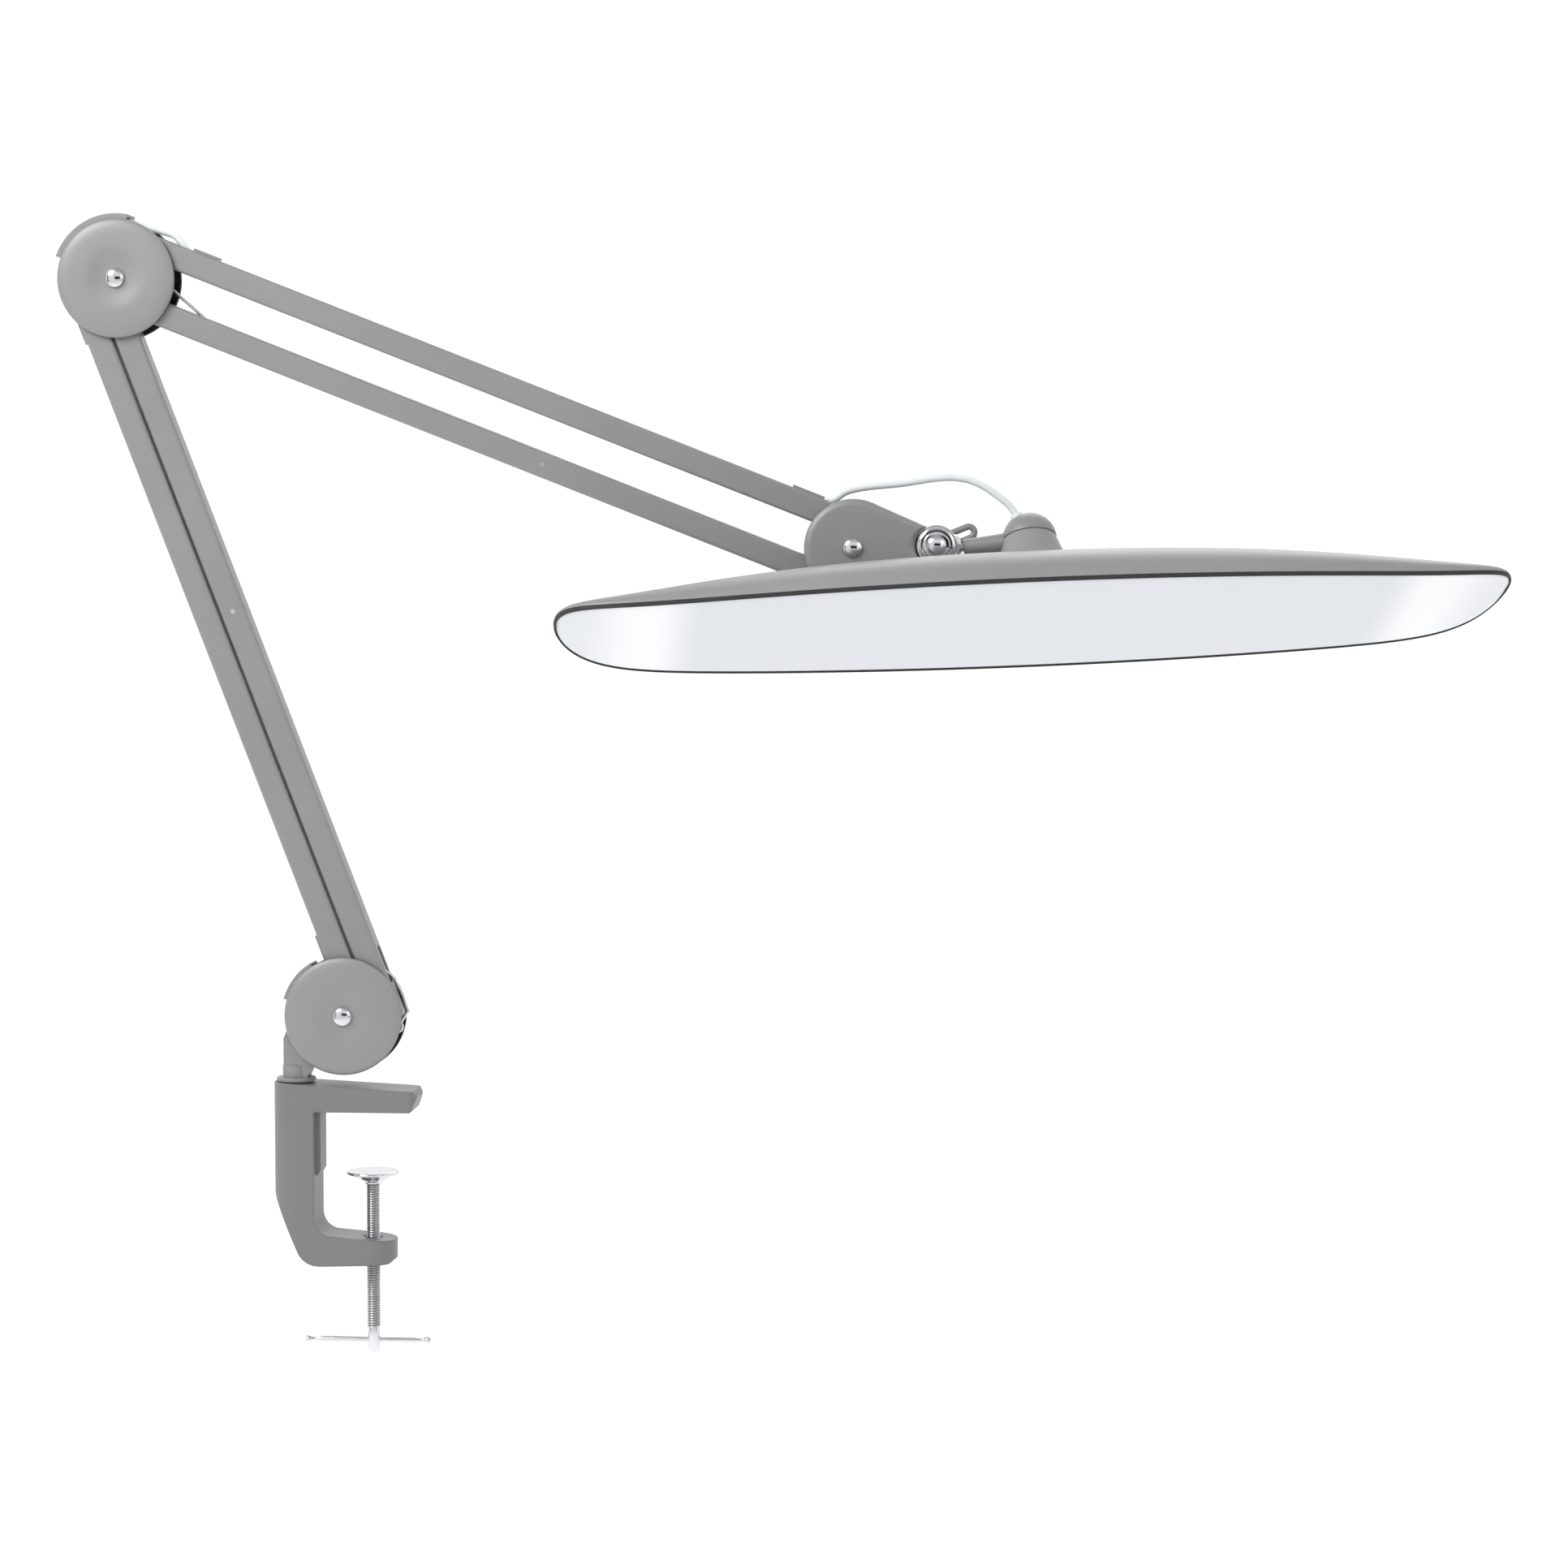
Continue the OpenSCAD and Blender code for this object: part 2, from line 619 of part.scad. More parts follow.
module upper_bottom_bushes() color(nylon) on_arm(p_elbow_bottom, -drop) tube_bushes(upper_len);

module upper_spring() color(chrome) {
    u = [cos(-drop), sin(-drop)];
    v = [-sin(-drop), cos(-drop)];
    balance_spring(elbow_at + elbow_stud_at, [p_elbow_bottom + 34 * u + 5 * v, p_elbow_bottom + 46 * u],
        p_elbow_bottom, -drop);
}

module upper_spring_pin() color(steel) {
    on_arm(p_elbow_bottom, -drop) rod_y([tail_pin, 0], -half_tube, half_tube, 1.25);
}

module upper_lead() color(cable_white) on_arm(p_elbow_top, -drop) inner_lead(upper_len);
module elbow_upper_clip() color(paint) on_arm(p_elbow_top, -drop) strip_clip(17.5, 31, 22.6);

module end_clip() color(paint) {
    on_arm(p_elbow_top, -drop) strip_clip(upper_len - 31, upper_len - 14, upper_len - 21.8);
}

// ---- End knuckle and tilt joint ----

tongue_y = 4;
end_flat = end_cover_r - 5.5;
end_slope = 9;
slot_y = 4.5;

module end_tongue() color(dark) {
    to_tilt = tilt_at - end_at;
    difference() {
        union() {
            rod_y(end_at, -plate_in, plate_in, 6);
            slab(-tongue_y, 2 * tongue_y) hull() {
                translate(end_at) circle(r = 6, $fn = 32);
                translate(end_at + to_tilt) circle(r = 6, $fn = 32);
            }
            for (y = [-plate_out, plate_in]) rod_y(end_at, y, y + plate_t, end_cover_r - 0.3);
        }
        rod_y(end_at, -2 * tube_w, 2 * tube_w, bolt_r + fit);
        for (p = [p_end_bottom, p_end_top]) rod_y(p, -2 * tube_w, 2 * tube_w, pin_r + fit);
        rod_y(tilt_at, -tube_w, tube_w, 2.5 + fit);
        translate([end_at.x, 0, end_at.y]) rotate([0, -end_slope, 0])
            translate([-40, -tube_w, -end_flat - 20.3]) cube([80, 2 * tube_w, 20]);
    }
}

// Outline of an end cover: a disc that tapers to a tail, hollowed round the tilt boss and cut straight below
module end_outline(inset) {
    difference() {
        hull() {
            translate(end_at) circle(r = end_cover_r - inset, $fn = 72);
            translate(tilt_at + [-6.5, 8.6]) circle(r = 2.2 - inset / 2, $fn = 24);
            translate(tilt_at + [-6.5, -9.6]) circle(r = 2.2 - inset / 2, $fn = 24);
        }
        translate(tilt_at) circle(r = boss_r + 0.5 + inset);
        translate(end_at) rotate(end_slope) translate([-40, -end_flat - 20 + inset]) square([80, 20]);
    }
}

module end_covers() color(paint) {
    for (side = [-1, 1]) difference() {
        slab(side < 0 ? -plate_out - cover_h : plate_out, cover_h) end_outline(0);
        slab(side < 0 ? -plate_out - cover_h + cover_t : plate_out - 1, cover_h - cover_t + 1) end_outline(1.6);
        rod_y(end_at, -2 * tube_w, 2 * tube_w, bolt_r + fit);
    }
}

module end_bolt() color(chrome) {
    seat = plate_out + cover_h;
    centre_bolt(end_at, seat);
    turned_y(end_at, seat, 1) dome_head();
}

module end_pins() color(steel) for (p = [p_end_bottom, p_end_top]) rivet(p);

yoke_y = 9.4;
module tilt_yoke() color(chrome) {
    neck_len = boss_r + 1;
    difference() {
        union() {
            rod_y(tilt_at, -yoke_y, yoke_y, boss_r);
            for (side = [-1, 1]) {
                turned_y(tilt_at, yoke_y, side) polygon([
                    [0, 0], [boss_r - 1, 0], [boss_r - 2.2, 0.8], [boss_r - 3.4, 0.9], [6.2, 1.7], [0, 1.7]]);
            }
            intersection() {
                translate([neck_at.x, 0, neck_at.y]) rotate([0, -90 - stem_rise, 0])
                    cylinder(h = neck_len, r1 = stem_r_neck + 0.3, r2 = boss_r - 1);
                translate([tilt_at.x, -yoke_y, tilt_at.y - boss_r]) cube([40, 2 * yoke_y, 2 * boss_r]);
            }
        }
        rod_y(tilt_at, -slot_y, slot_y, boss_r + 0.3);
        translate([tilt_at.x - 20, -slot_y, tilt_at.y - 20]) cube([20, 2 * slot_y, 40]);
        rod_y(tilt_at, -2 * tube_w, 2 * tube_w, 2.5 + fit);
        translate([neck_at.x, 0, neck_at.y]) rotate([0, -90 - stem_rise, 0])
            translate([0, 0, -1]) cylinder(h = 9, r = 2 + fit);
    }
}

tilt_cap_y = yoke_y + 1.7;
module tilt_bolt() color(chrome) {
    turned_y(tilt_at, tilt_cap_y, -1) dome_head();
    rod_y(tilt_at, -tilt_cap_y, tilt_cap_y + 6, 2.5);
}

wing_angle = 22;
module tilt_wing() color(paint) {
    wing_len = 19;
    difference() {
        union() {
            rod_y(tilt_at, tilt_cap_y + 0.2, tilt_cap_y + 8, 6);
            translate([tilt_at.x, 0, tilt_at.y]) rotate([0, -wing_angle, 0]) {
                slab(tilt_cap_y + 3, 4) hull() for (x = [-wing_len + 1, wing_len - 1])
                    translate([x, 0.6]) circle(r = 4, $fn = 32);
            }
        }
        rod_y(tilt_at, tilt_cap_y - 1, tilt_cap_y + 6.2, 2.5 + fit);
        translate([tilt_at.x, 0, tilt_at.y]) rotate([0, -wing_angle, 0]) {
            for (s = [0, 1]) mirror([s, 0, 0]) slab(tilt_cap_y + 2, 6)
                hull() for (x = [9, wing_len - 1]) translate([x, 0.6]) circle(r = 1.5, $fn = 24);
        }
    }
}

// ---- Stem and dome, in the stem's frame: X along the stem from the neck, Z along the swivel's axis ----

module at_stem() {
    translate([neck_at.x, 0, neck_at.y]) rotate([0, -stem_rise, 0]) rotate([-head_roll, 0, 0]) children();
}

module at_dome() {
    at_stem() translate([stem_len, 0, 0]) children();
}

// The lead's way into the dome leans this much to the left of upright, whatever the head's roll.
entry_lean = 30;
module at_entry() {
    dome_at = neck_at + stem_len * [cos(stem_rise), sin(stem_rise)];
    translate([dome_at.x, 0, dome_at.y]) rotate([0, -entry_lean, 0]) children();
}

dome_floor = 2.6;
module stem_dome() color(paint) {
    difference() {
        union() {
            at_dome() sphere(r = dome_r, $fn = 96);
            at_stem() translate([0.8, 0, 0]) rotate([0, 90, 0])
                cylinder(h = stem_len - 5, r1 = stem_r_neck, r2 = stem_r_dome);
        }
        at_dome() difference() {
            sphere(r = dome_r - 2.4, $fn = 96);
            translate([0, 0, -dome_r]) cylinder(h = dome_r + dome_floor, r = 2 * dome_r);
        }
        at_dome() translate([0, 0, -flare_h])
            cylinder(h = flare_h + 0.2, r1 = flare_r + 0.5, r2 = dome_r + 0.3);
        at_dome() translate([0, 0, -1]) cylinder(h = 5, r = pin_tube_r + fit);
        at_entry() translate([0, 0, dome_r - 4]) cylinder(h = 6, d = lead_d + 0.4);
        at_stem() translate([-1, 0, 0]) rotate([0, 90, 0]) cylinder(h = 9.6, r = 2);
    }
}

module roll_pin() color(steel) {
    at_stem() translate([-5.4, 0, 0]) rotate([0, 90, 0]) cylinder(h = 13.9, r = 2);
}

module head_lead() color(cable_white) cord(head_lead_route, lead_d, 8);

// ---- Head, in its own frame: X along the head, Z along the swivel's axis, zero at the dome's split plane ----

module at_head() {
    at_dome() rotate([0, 0, head_swivel]) children();
}

// Half width of the head's outline at u = -1 to 1 along its length: bowed sides that close in a round end
function half_width(u, w) = w / 2 * (1 - side_taper * u * u) * sqrt(max(0, 1 - pow(abs(u), side_power)));

// Height of the shade's back above its rim along its length
function back_height(u, h) = h * (1 - back_taper * u * u) * sqrt(max(0, 1 - pow(abs(u), back_power)));

// How far the rim sweeps up towards the tips, at x along the head
function rim_lift(x) = tip_lift * pow(abs(2 * x / head_l), tip_power);
function long_at(i) = sin(-90 + 180 * i / rings_long);

// A point of the shade's surface: v runs from rim to rim across the head.
function shade_point(u, v, l, w, h) = let (a = 180 * v)
    [l / 2 * u, half_width(u, w) * cos(a), rim_lift(l / 2 * u) + back_height(u, h) * sin(a)];

module shade_solid(l, w, h, below) {
    m = rings_round + 3;
    n = rings_long - 1;
    rings = [for (i = [1 : n]) let (u = long_at(i)) each concat(
        [[l / 2 * u, half_width(u, w), rim_lift(l / 2 * u) - below]],
        [for (k = [0 : rings_round]) shade_point(u, k / rings_round, l, w, h)],
        [[l / 2 * u, -half_width(u, w), rim_lift(l / 2 * u) - below]])];
    skin = [for (i = [0 : n - 2]) for (k = [0 : m - 1])
        [i * m + k, (i + 1) * m + k, (i + 1) * m + (k + 1) % m, i * m + (k + 1) % m]];
    first = [[for (k = [0 : m - 1]) k]];
    last = [[for (k = [m - 1 : -1 : 0]) (n - 1) * m + k]];
    polyhedron(rings, concat(skin, first, last));
}

// A flat-bottomed sheet that follows the rim's sweep, from z0 to z1 over the rim
module swept_sheet(l, w, z0, z1) {
    n = rings_long - 1;
    rings = [for (i = [1 : n]) let (u = long_at(i), y = half_width(u, w), z = rim_lift(l / 2 * u))
        each [[l / 2 * u, y, z + z0], [l / 2 * u, y, z + z1],
            [l / 2 * u, -y, z + z1], [l / 2 * u, -y, z + z0]]];
    skin = [for (i = [0 : n - 2]) for (k = [0 : 3])
        [i * 4 + k, (i + 1) * 4 + k, (i + 1) * 4 + (k + 1) % 4, i * 4 + (k + 1) % 4]];
    first = [[0, 1, 2, 3]];
    last = [[for (k = [3 : -1 : 0]) (n - 1) * 4 + k]];
    polyhedron(rings, concat(skin, first, last));
}

// A band that follows the rim all round, band_w wide, from z0 to z1 over the rim
module swept_band(l, w, band_w, z0, z1) {
    n = rings_long - 1;
    there = [for (i = [1 : n]) [long_at(i), 1]];
    back = [for (i = [n : -1 : 1]) [long_at(i), -1]];
    loop = concat(there, back);
    m = len(loop);
    rings = [for (s = loop) let (u = s[0], xo = l / 2 * u, xi = (l / 2 - band_w) * u, zo = rim_lift(xo),
        zi = rim_lift(xi), yo = s[1] * half_width(u, w), yi = s[1] * half_width(u, w - 2 * band_w))
        each [[xo, yo, zo + z0], [xo, yo, zo + z1], [xi, yi, zi + z1], [xi, yi, zi + z0]]];
    skin = [for (i = [0 : m - 1]) for (k = [0 : 3])
        [i * 4 + k, ((i + 1) % m) * 4 + k, ((i + 1) % m) * 4 + (k + 1) % 4, i * 4 + (k + 1) % 4]];
    polyhedron(rings, skin);
}

button_at = 62;
button_r = 6;
module shade_shell() color(paint) {
    at_head() {
        difference() {
            union() {
                translate([0, 0, rim_z]) shade_solid(head_l, head_w, shade_h, 0);
                translate([0, 0, -flare_h]) cylinder(h = flare_h, r1 = flare_r, r2 = dome_r - 0.3);
            }
            translate([0, 0, rim_z]) shade_solid(head_l - 2 * shade_wall, head_w - 2 * shade_wall,
                shade_h - shade_wall, 1);
            translate([0, 0, -crown_drop - 20]) cylinder(h = crown_drop + 18, r = dome_r - 3);
            translate([0, 0, -20]) cylinder(h = 22, r = pin_tube_r + fit);
            translate([button_at, 8, rim_z]) cylinder(h = shade_h + 2, r = button_r + 0.3);
        }
        for (x = [-post_at, post_at]) translate([x, 0, tray_z + 1.6]) cylinder(h = shade_h - 13.5, r = 3);
    }
}

module rim_gasket() color(dark) {
    at_head() translate([0, 0, rim_z]) swept_band(head_l - 0.6, head_w - 0.6, 3.6, -gasket_t, -0.04);
}

module diffuser() color(milk) {
    at_head() translate([0, 0, rim_z])
        swept_sheet(head_l - 2, head_w - 2, -gasket_t - diffuser_t, -gasket_t - 0.04);
}

module led_tray() color(nylon) {
    at_head() difference() {
        translate([-head_l * 0.36, -head_w * 0.26, tray_z]) cube([head_l * 0.72, head_w * 0.52, 1.6]);
        translate([0, 0, tray_z - 1]) cylinder(h = 4, r = 5);
    }
}

module swivel_pin() color(steel) {
    at_head() difference() {
        union() {
            translate([0, 0, -8]) cylinder(h = 8 + dome_floor + 3, r = pin_tube_r);
            translate([0, 0, dome_floor + 0.3]) cylinder(h = 1.8, r = pin_tube_r + 2);
            translate([0, 0, -8]) cylinder(h = 1.5, r = pin_tube_r + 2.5);
        }
        translate([0, 0, -9]) cylinder(h = 20, r = pin_bore_r);
    }
}

module dimmer_button() color(dark) {
    at_head() translate([button_at, 8, rim_z + shade_h - 6]) {
        cylinder(h = 6.2, r = button_r);
    }
}

clamp_frame();
post_bush();
pressure_pad();
clamp_screw();
turning_bar();
post_spindle();
post_flange();
base_bracket();
base_plates();
base_cover_near();
base_cover_far();
base_bolt();
base_nut();
base_pins();
base_guard();
base_spring_stud();
lower_rear_tube();
lower_rear_bushes();
lower_front_tube();
lower_front_bushes();
lower_spring();
lower_spring_pin();
lower_lead();
base_clip();
elbow_lower_clip();
elbow_plates();
elbow_cover_near();
elbow_cover_far();
elbow_bolt();
elbow_nut();
elbow_spacer();
elbow_pins();
elbow_guard();
elbow_spring_stud();
elbow_lead();
upper_top_tube();
upper_top_bushes();
upper_bottom_tube();
upper_bottom_bushes();
upper_spring();
upper_spring_pin();
upper_lead();
elbow_upper_clip();
end_clip();
end_tongue();
end_covers();
end_bolt();
end_pins();
tilt_yoke();
tilt_bolt();
tilt_wing();
stem_dome();
roll_pin();
head_lead();
shade_shell();
rim_gasket();
diffuser();
led_tray();
swivel_pin();
dimmer_button();
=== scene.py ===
# %% [markdown]
# # A swing arm desk lamp
# A drawing-office lamp: a cast desk clamp, a post that turns in it, two pairs of square tubes that work as
# parallel linkages, and a long thin light head on a swivel. The CAD model gives every part its place and
# its joints. This lesson gives each part its finish, and remakes the parts whose shape needs smooth
# surfaces.
# %% Load the frame
import json
import bmesh
import bpy
import numpy as np
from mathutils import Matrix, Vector


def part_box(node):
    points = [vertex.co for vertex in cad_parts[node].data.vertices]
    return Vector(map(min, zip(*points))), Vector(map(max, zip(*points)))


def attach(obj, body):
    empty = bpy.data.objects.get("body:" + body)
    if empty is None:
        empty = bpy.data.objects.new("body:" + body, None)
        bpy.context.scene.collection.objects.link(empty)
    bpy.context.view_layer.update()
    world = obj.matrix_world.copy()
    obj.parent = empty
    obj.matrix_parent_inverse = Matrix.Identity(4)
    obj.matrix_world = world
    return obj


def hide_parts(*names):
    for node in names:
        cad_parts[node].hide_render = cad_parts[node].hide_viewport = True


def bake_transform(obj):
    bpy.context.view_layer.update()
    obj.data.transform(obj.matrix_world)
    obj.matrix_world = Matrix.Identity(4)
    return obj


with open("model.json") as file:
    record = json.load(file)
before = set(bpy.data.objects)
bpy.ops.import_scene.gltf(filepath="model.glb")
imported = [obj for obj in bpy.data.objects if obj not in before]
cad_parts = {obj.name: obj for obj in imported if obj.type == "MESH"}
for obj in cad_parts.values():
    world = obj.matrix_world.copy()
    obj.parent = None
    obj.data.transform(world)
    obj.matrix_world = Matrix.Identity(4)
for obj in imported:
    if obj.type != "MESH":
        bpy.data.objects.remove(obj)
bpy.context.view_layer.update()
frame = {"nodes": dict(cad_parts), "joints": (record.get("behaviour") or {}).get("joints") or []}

MM = 0.001

# %% [markdown]
# ## The places everything hangs on
# A lamp like this is set out from its pivots. They are read from the record's joints and from the boxes of
# the bolts, so that a longer arm in the CAD carries every new piece with it.
# %% Read the pivots
joints = {joint["name"]: joint for joint in frame["joints"]}


def pivot(name):
    """The point that a hinge turns about."""
    return np.array(joints[name]["pos_m"], float)


def middle(node):
    """The middle of a node's box."""
    low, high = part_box(node)
    return (np.array(low, float) + np.array(high, float)) / 2


base_at, elbow_at, end_at, tilt_at = (
    middle(node) * [1, 0, 1] for node in ("base_bolt", "elbow_spacer", "end_bolt", "tilt_bolt"))
dome_at, neck_at = pivot("head_swivel"), pivot("head_roll")
stem_way = np.array(joints["head_roll"]["axis"], float)
swivel_way = np.array(joints["head_swivel"]["axis"], float)
lower_way = pivot("elbow_level") - pivot("lower_arm")
lower_way /= np.linalg.norm(lower_way)
upper_way = pivot("head_level") - pivot("upper_arm")
upper_way /= np.linalg.norm(upper_way)
print("elbow at", elbow_at.round(4), "dome at", dome_at.round(4))

# %% [markdown]
# ## The camera
# A long lens from almost straight in front keeps the two square arms parallel, as in a catalogue.
# %% Set up the camera
lens = bpy.data.cameras.new("catalogue_camera")
lens.lens, lens.sensor_width = 85, 36
camera = bpy.data.objects.new("catalogue_camera", lens)
bpy.context.scene.collection.objects.link(camera)
camera.location = (0.3468, -1.8922, 0.2797)
sight = Vector((0.2144, 0, 0.1703)) - camera.location
camera.rotation_euler = sight.to_track_quat("-Z", "Y").to_euler()
bpy.context.scene.camera = camera
print("camera", round(sight.length, 3), "m from the lamp")

# %% [markdown]
# ## Surfaces as grids
# Nearly every piece here is a grid: rows one way, columns the other, and four-sided faces between them. One
# function turns any number of such grids into a mesh, so that a shape is only ever a formula on arrays.
# %% Turn grids into a piece
def patch_faces(rows, columns, row_loop, column_loop):
    """Four-sided faces of a rows by columns grid. A loop joins its last row or column to its first."""
    i = np.arange(rows if row_loop else rows - 1)[:, None]
    j = np.arange(columns if column_loop else columns - 1)[None, :]
    i2, j2 = (i + 1) % rows, (j + 1) % columns
    corners = [i * columns + j, i2 * columns + j, i2 * columns + j2, i * columns + j2]
    return np.stack(np.broadcast_arrays(*corners), axis=-1).reshape(-1, 4)


def piece(name, patches, body, sharp=35):
    """A piece from patches, each (points, row_loop, column_loop), with doubles merged and faces outward."""
    points, faces, count = [], [], 0
    for grid, row_loop, column_loop in patches:
        grid = np.asarray(grid, float)
        faces.append(patch_faces(*grid.shape[:2], row_loop, column_loop) + count)
        points.append(grid.reshape(-1, 3))
        count += points[-1].shape[0]
    mesh = bpy.data.meshes.new(name)
    mesh.from_pydata(np.concatenate(points), [], np.concatenate(faces))
    weld(mesh)
    mesh.shade_smooth()
    mesh.set_sharp_from_angle(angle=np.radians(sharp))
    made = bpy.data.objects.new(name, mesh)
    bpy.context.scene.collection.objects.link(made)
    if body:
        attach(made, body)
    print(name, len(mesh.polygons), "faces")
    return made


def weld(mesh):
    """Merge the points of seams and poles, drop flat faces, and turn every face outward."""
    work = bmesh.new()
    work.from_mesh(mesh)
    bmesh.ops.remove_doubles(work, verts=work.verts, dist=2e-6)
    bmesh.ops.dissolve_degenerate(work, edges=work.edges, dist=1e-7)
    bmesh.ops.recalc_face_normals(work, faces=work.faces)
    work.to_mesh(mesh)
    work.free()


# %% [markdown]
# ## Tubes that follow a line
# Leads, wires and rims are one round section carried along a line. The line is smoothed through its points
# first, because a real lead has no corners.
# %% Smooth a line and sweep a section along it
def smooth_line(points, spans):
    """A curve through the points: each stretch is a cubic whose slope at a point is half the step past it."""
    p = np.asarray(points, float)
    p = np.vstack([2 * p[0] - p[1], p, 2 * p[-1] - p[-2]])
    t = np.linspace(0, 1, spans, endpoint=False)[None, :, None]
    a, b, c, d = (p[k:len(p) - 3 + k][:, None, :] for k in range(4))
    square, cube = 2 * a - 5 * b + 4 * c - d, 3 * b - a - 3 * c + d
    line = 0.5 * (2 * b + (c - a) * t + square * t ** 2 + cube * t ** 3)
    return np.vstack([line.reshape(-1, 3), p[-2]])


def swept(line, radius, sides, loop=False, side_way=(0, 1, 0)):
    """Rings round a flat line: the line's point plus radius times cos along side_way and sin across it."""
    line = np.asarray(line, float)
    ahead = np.roll(line, -1, axis=0) - np.roll(line, 1, axis=0) if loop else np.gradient(line, axis=0)
    ahead /= np.linalg.norm(ahead, axis=1)[:, None]
    side = np.broadcast_to(np.asarray(side_way, float), ahead.shape)
    across = np.cross(ahead, side)
    turn = np.linspace(0, 2 * np.pi, sides, endpoint=False)[None, :, None]
    size = np.broadcast_to(np.asarray(radius, float), len(line))[:, None, None]
    rings = line[:, None] + size * (np.cos(turn) * side[:, None] + np.sin(turn) * across[:, None])
    if loop:
        return rings
    ends = [np.broadcast_to(line[k], (1, sides, 3)) for k in (0, -1)]
    return np.concatenate([ends[0], rings, ends[1]])


# %% [markdown]
# ## The electric lead
# The lead runs inside the tubes, and shows only where it crosses a joint: round the elbow under its guard,
# and in a white loop from the upper tube over the tilt joint to the dome. It bends, so it is made in
# stretches, each lying across one joint.
# %% Make the leads
lead_size = 3.8 * MM


def beside(pin, along, way, off):
    """A point so far along an arm from a pin, and off to the side that its slots are on."""
    up = np.array([-way[2], 0, way[0]])
    return pin + MM * (along * way + off * up)


def lead(name, points):
    """A stretch of lead: a round tube through its points, with no body of its own."""
    line = smooth_line(points, 6)
    made = piece(name, [(swept(line, lead_size / 2, 20), False, True)], None)
    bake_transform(made)
    return made


elbow_rear, elbow_top = pivot("elbow_level"), pivot("upper_arm")
round_elbow = np.radians(np.arange(196, 65, -10))[:, None]
ring = elbow_at + 29.5 * MM * np.hstack([np.cos(round_elbow), 0 * round_elbow, np.sin(round_elbow)])
out_of_arm = [beside(elbow_rear, along, lower_way, off)
              for along, off in ((-21, 0.3), (-16, 2), (-12, 5.2), (-9, 8.6))]
into_arm = [beside(elbow_top, along, upper_way, off)
            for along, off in ((2.5, 10.2), (8, 8.6), (13, 5.6), (17.2, 2.6), (21, 0.6))]
leads = [
    lead("elbow_lead_rear", [*out_of_arm, *ring[:8]]),
    lead("elbow_lead_top", [*ring[7:], *into_arm]),
]
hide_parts("elbow_lead")

end_top = pivot("head_level")
head_line = [beside(end_top, along, upper_way, off)
             for along, off in ((-18.6, 0.5), (-15, 2.2), (-11.6, 5.4), (-8.6, 8.8))]
head_line += [tilt_at + MM * np.array([x, 0, z]) for x, z in (
    (-47.5, 27.1), (-42.3, 28.9), (-34, 30.2), (-25.7, 31), (-17.3, 31.8), (-9, 33.1),
    (-0.7, 34.3), (7.7, 34.7), (15.8, 33.6), (21.3, 31.4), (26.1, 28.6), (30.3, 25.6),
    (33.9, 22.9), (36.7, 20.3), (38.7, 17.6), (40.8, 14))]
leads += [
    lead("head_lead_arm", head_line[:8]),
    lead("head_lead_tilt", head_line[7:13]),
    lead("head_lead_dome", head_line[12:]),
]
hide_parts("head_lead")

# %% [markdown]
# ## Finishes
# A finish is a shader fed by a few patterns: where the surface is, some noise at the scale of the real
# grain, and where the edges are. Patterns are sums and products, so a socket is wrapped until it reads like
# a number.
# %% Arithmetic on sockets
class Pattern:
    """A socket that can be added, subtracted and multiplied as if it were a number."""

    def __init__(self, finish, socket):
        self.finish, self.socket = finish, socket

    def join(self, operation, first, second):
        return self.finish.node("Math", {"operation": operation}, {0: first, 1: second})

    def __add__(self, other):
        return self.join("ADD", self, other)

    def __sub__(self, other):
        return self.join("SUBTRACT", self, other)

    def __rsub__(self, other):
        return self.join("SUBTRACT", other, self)

    def __mul__(self, other):
        return self.join("MULTIPLY", self, other)

    __radd__, __rmul__ = __add__, __mul__


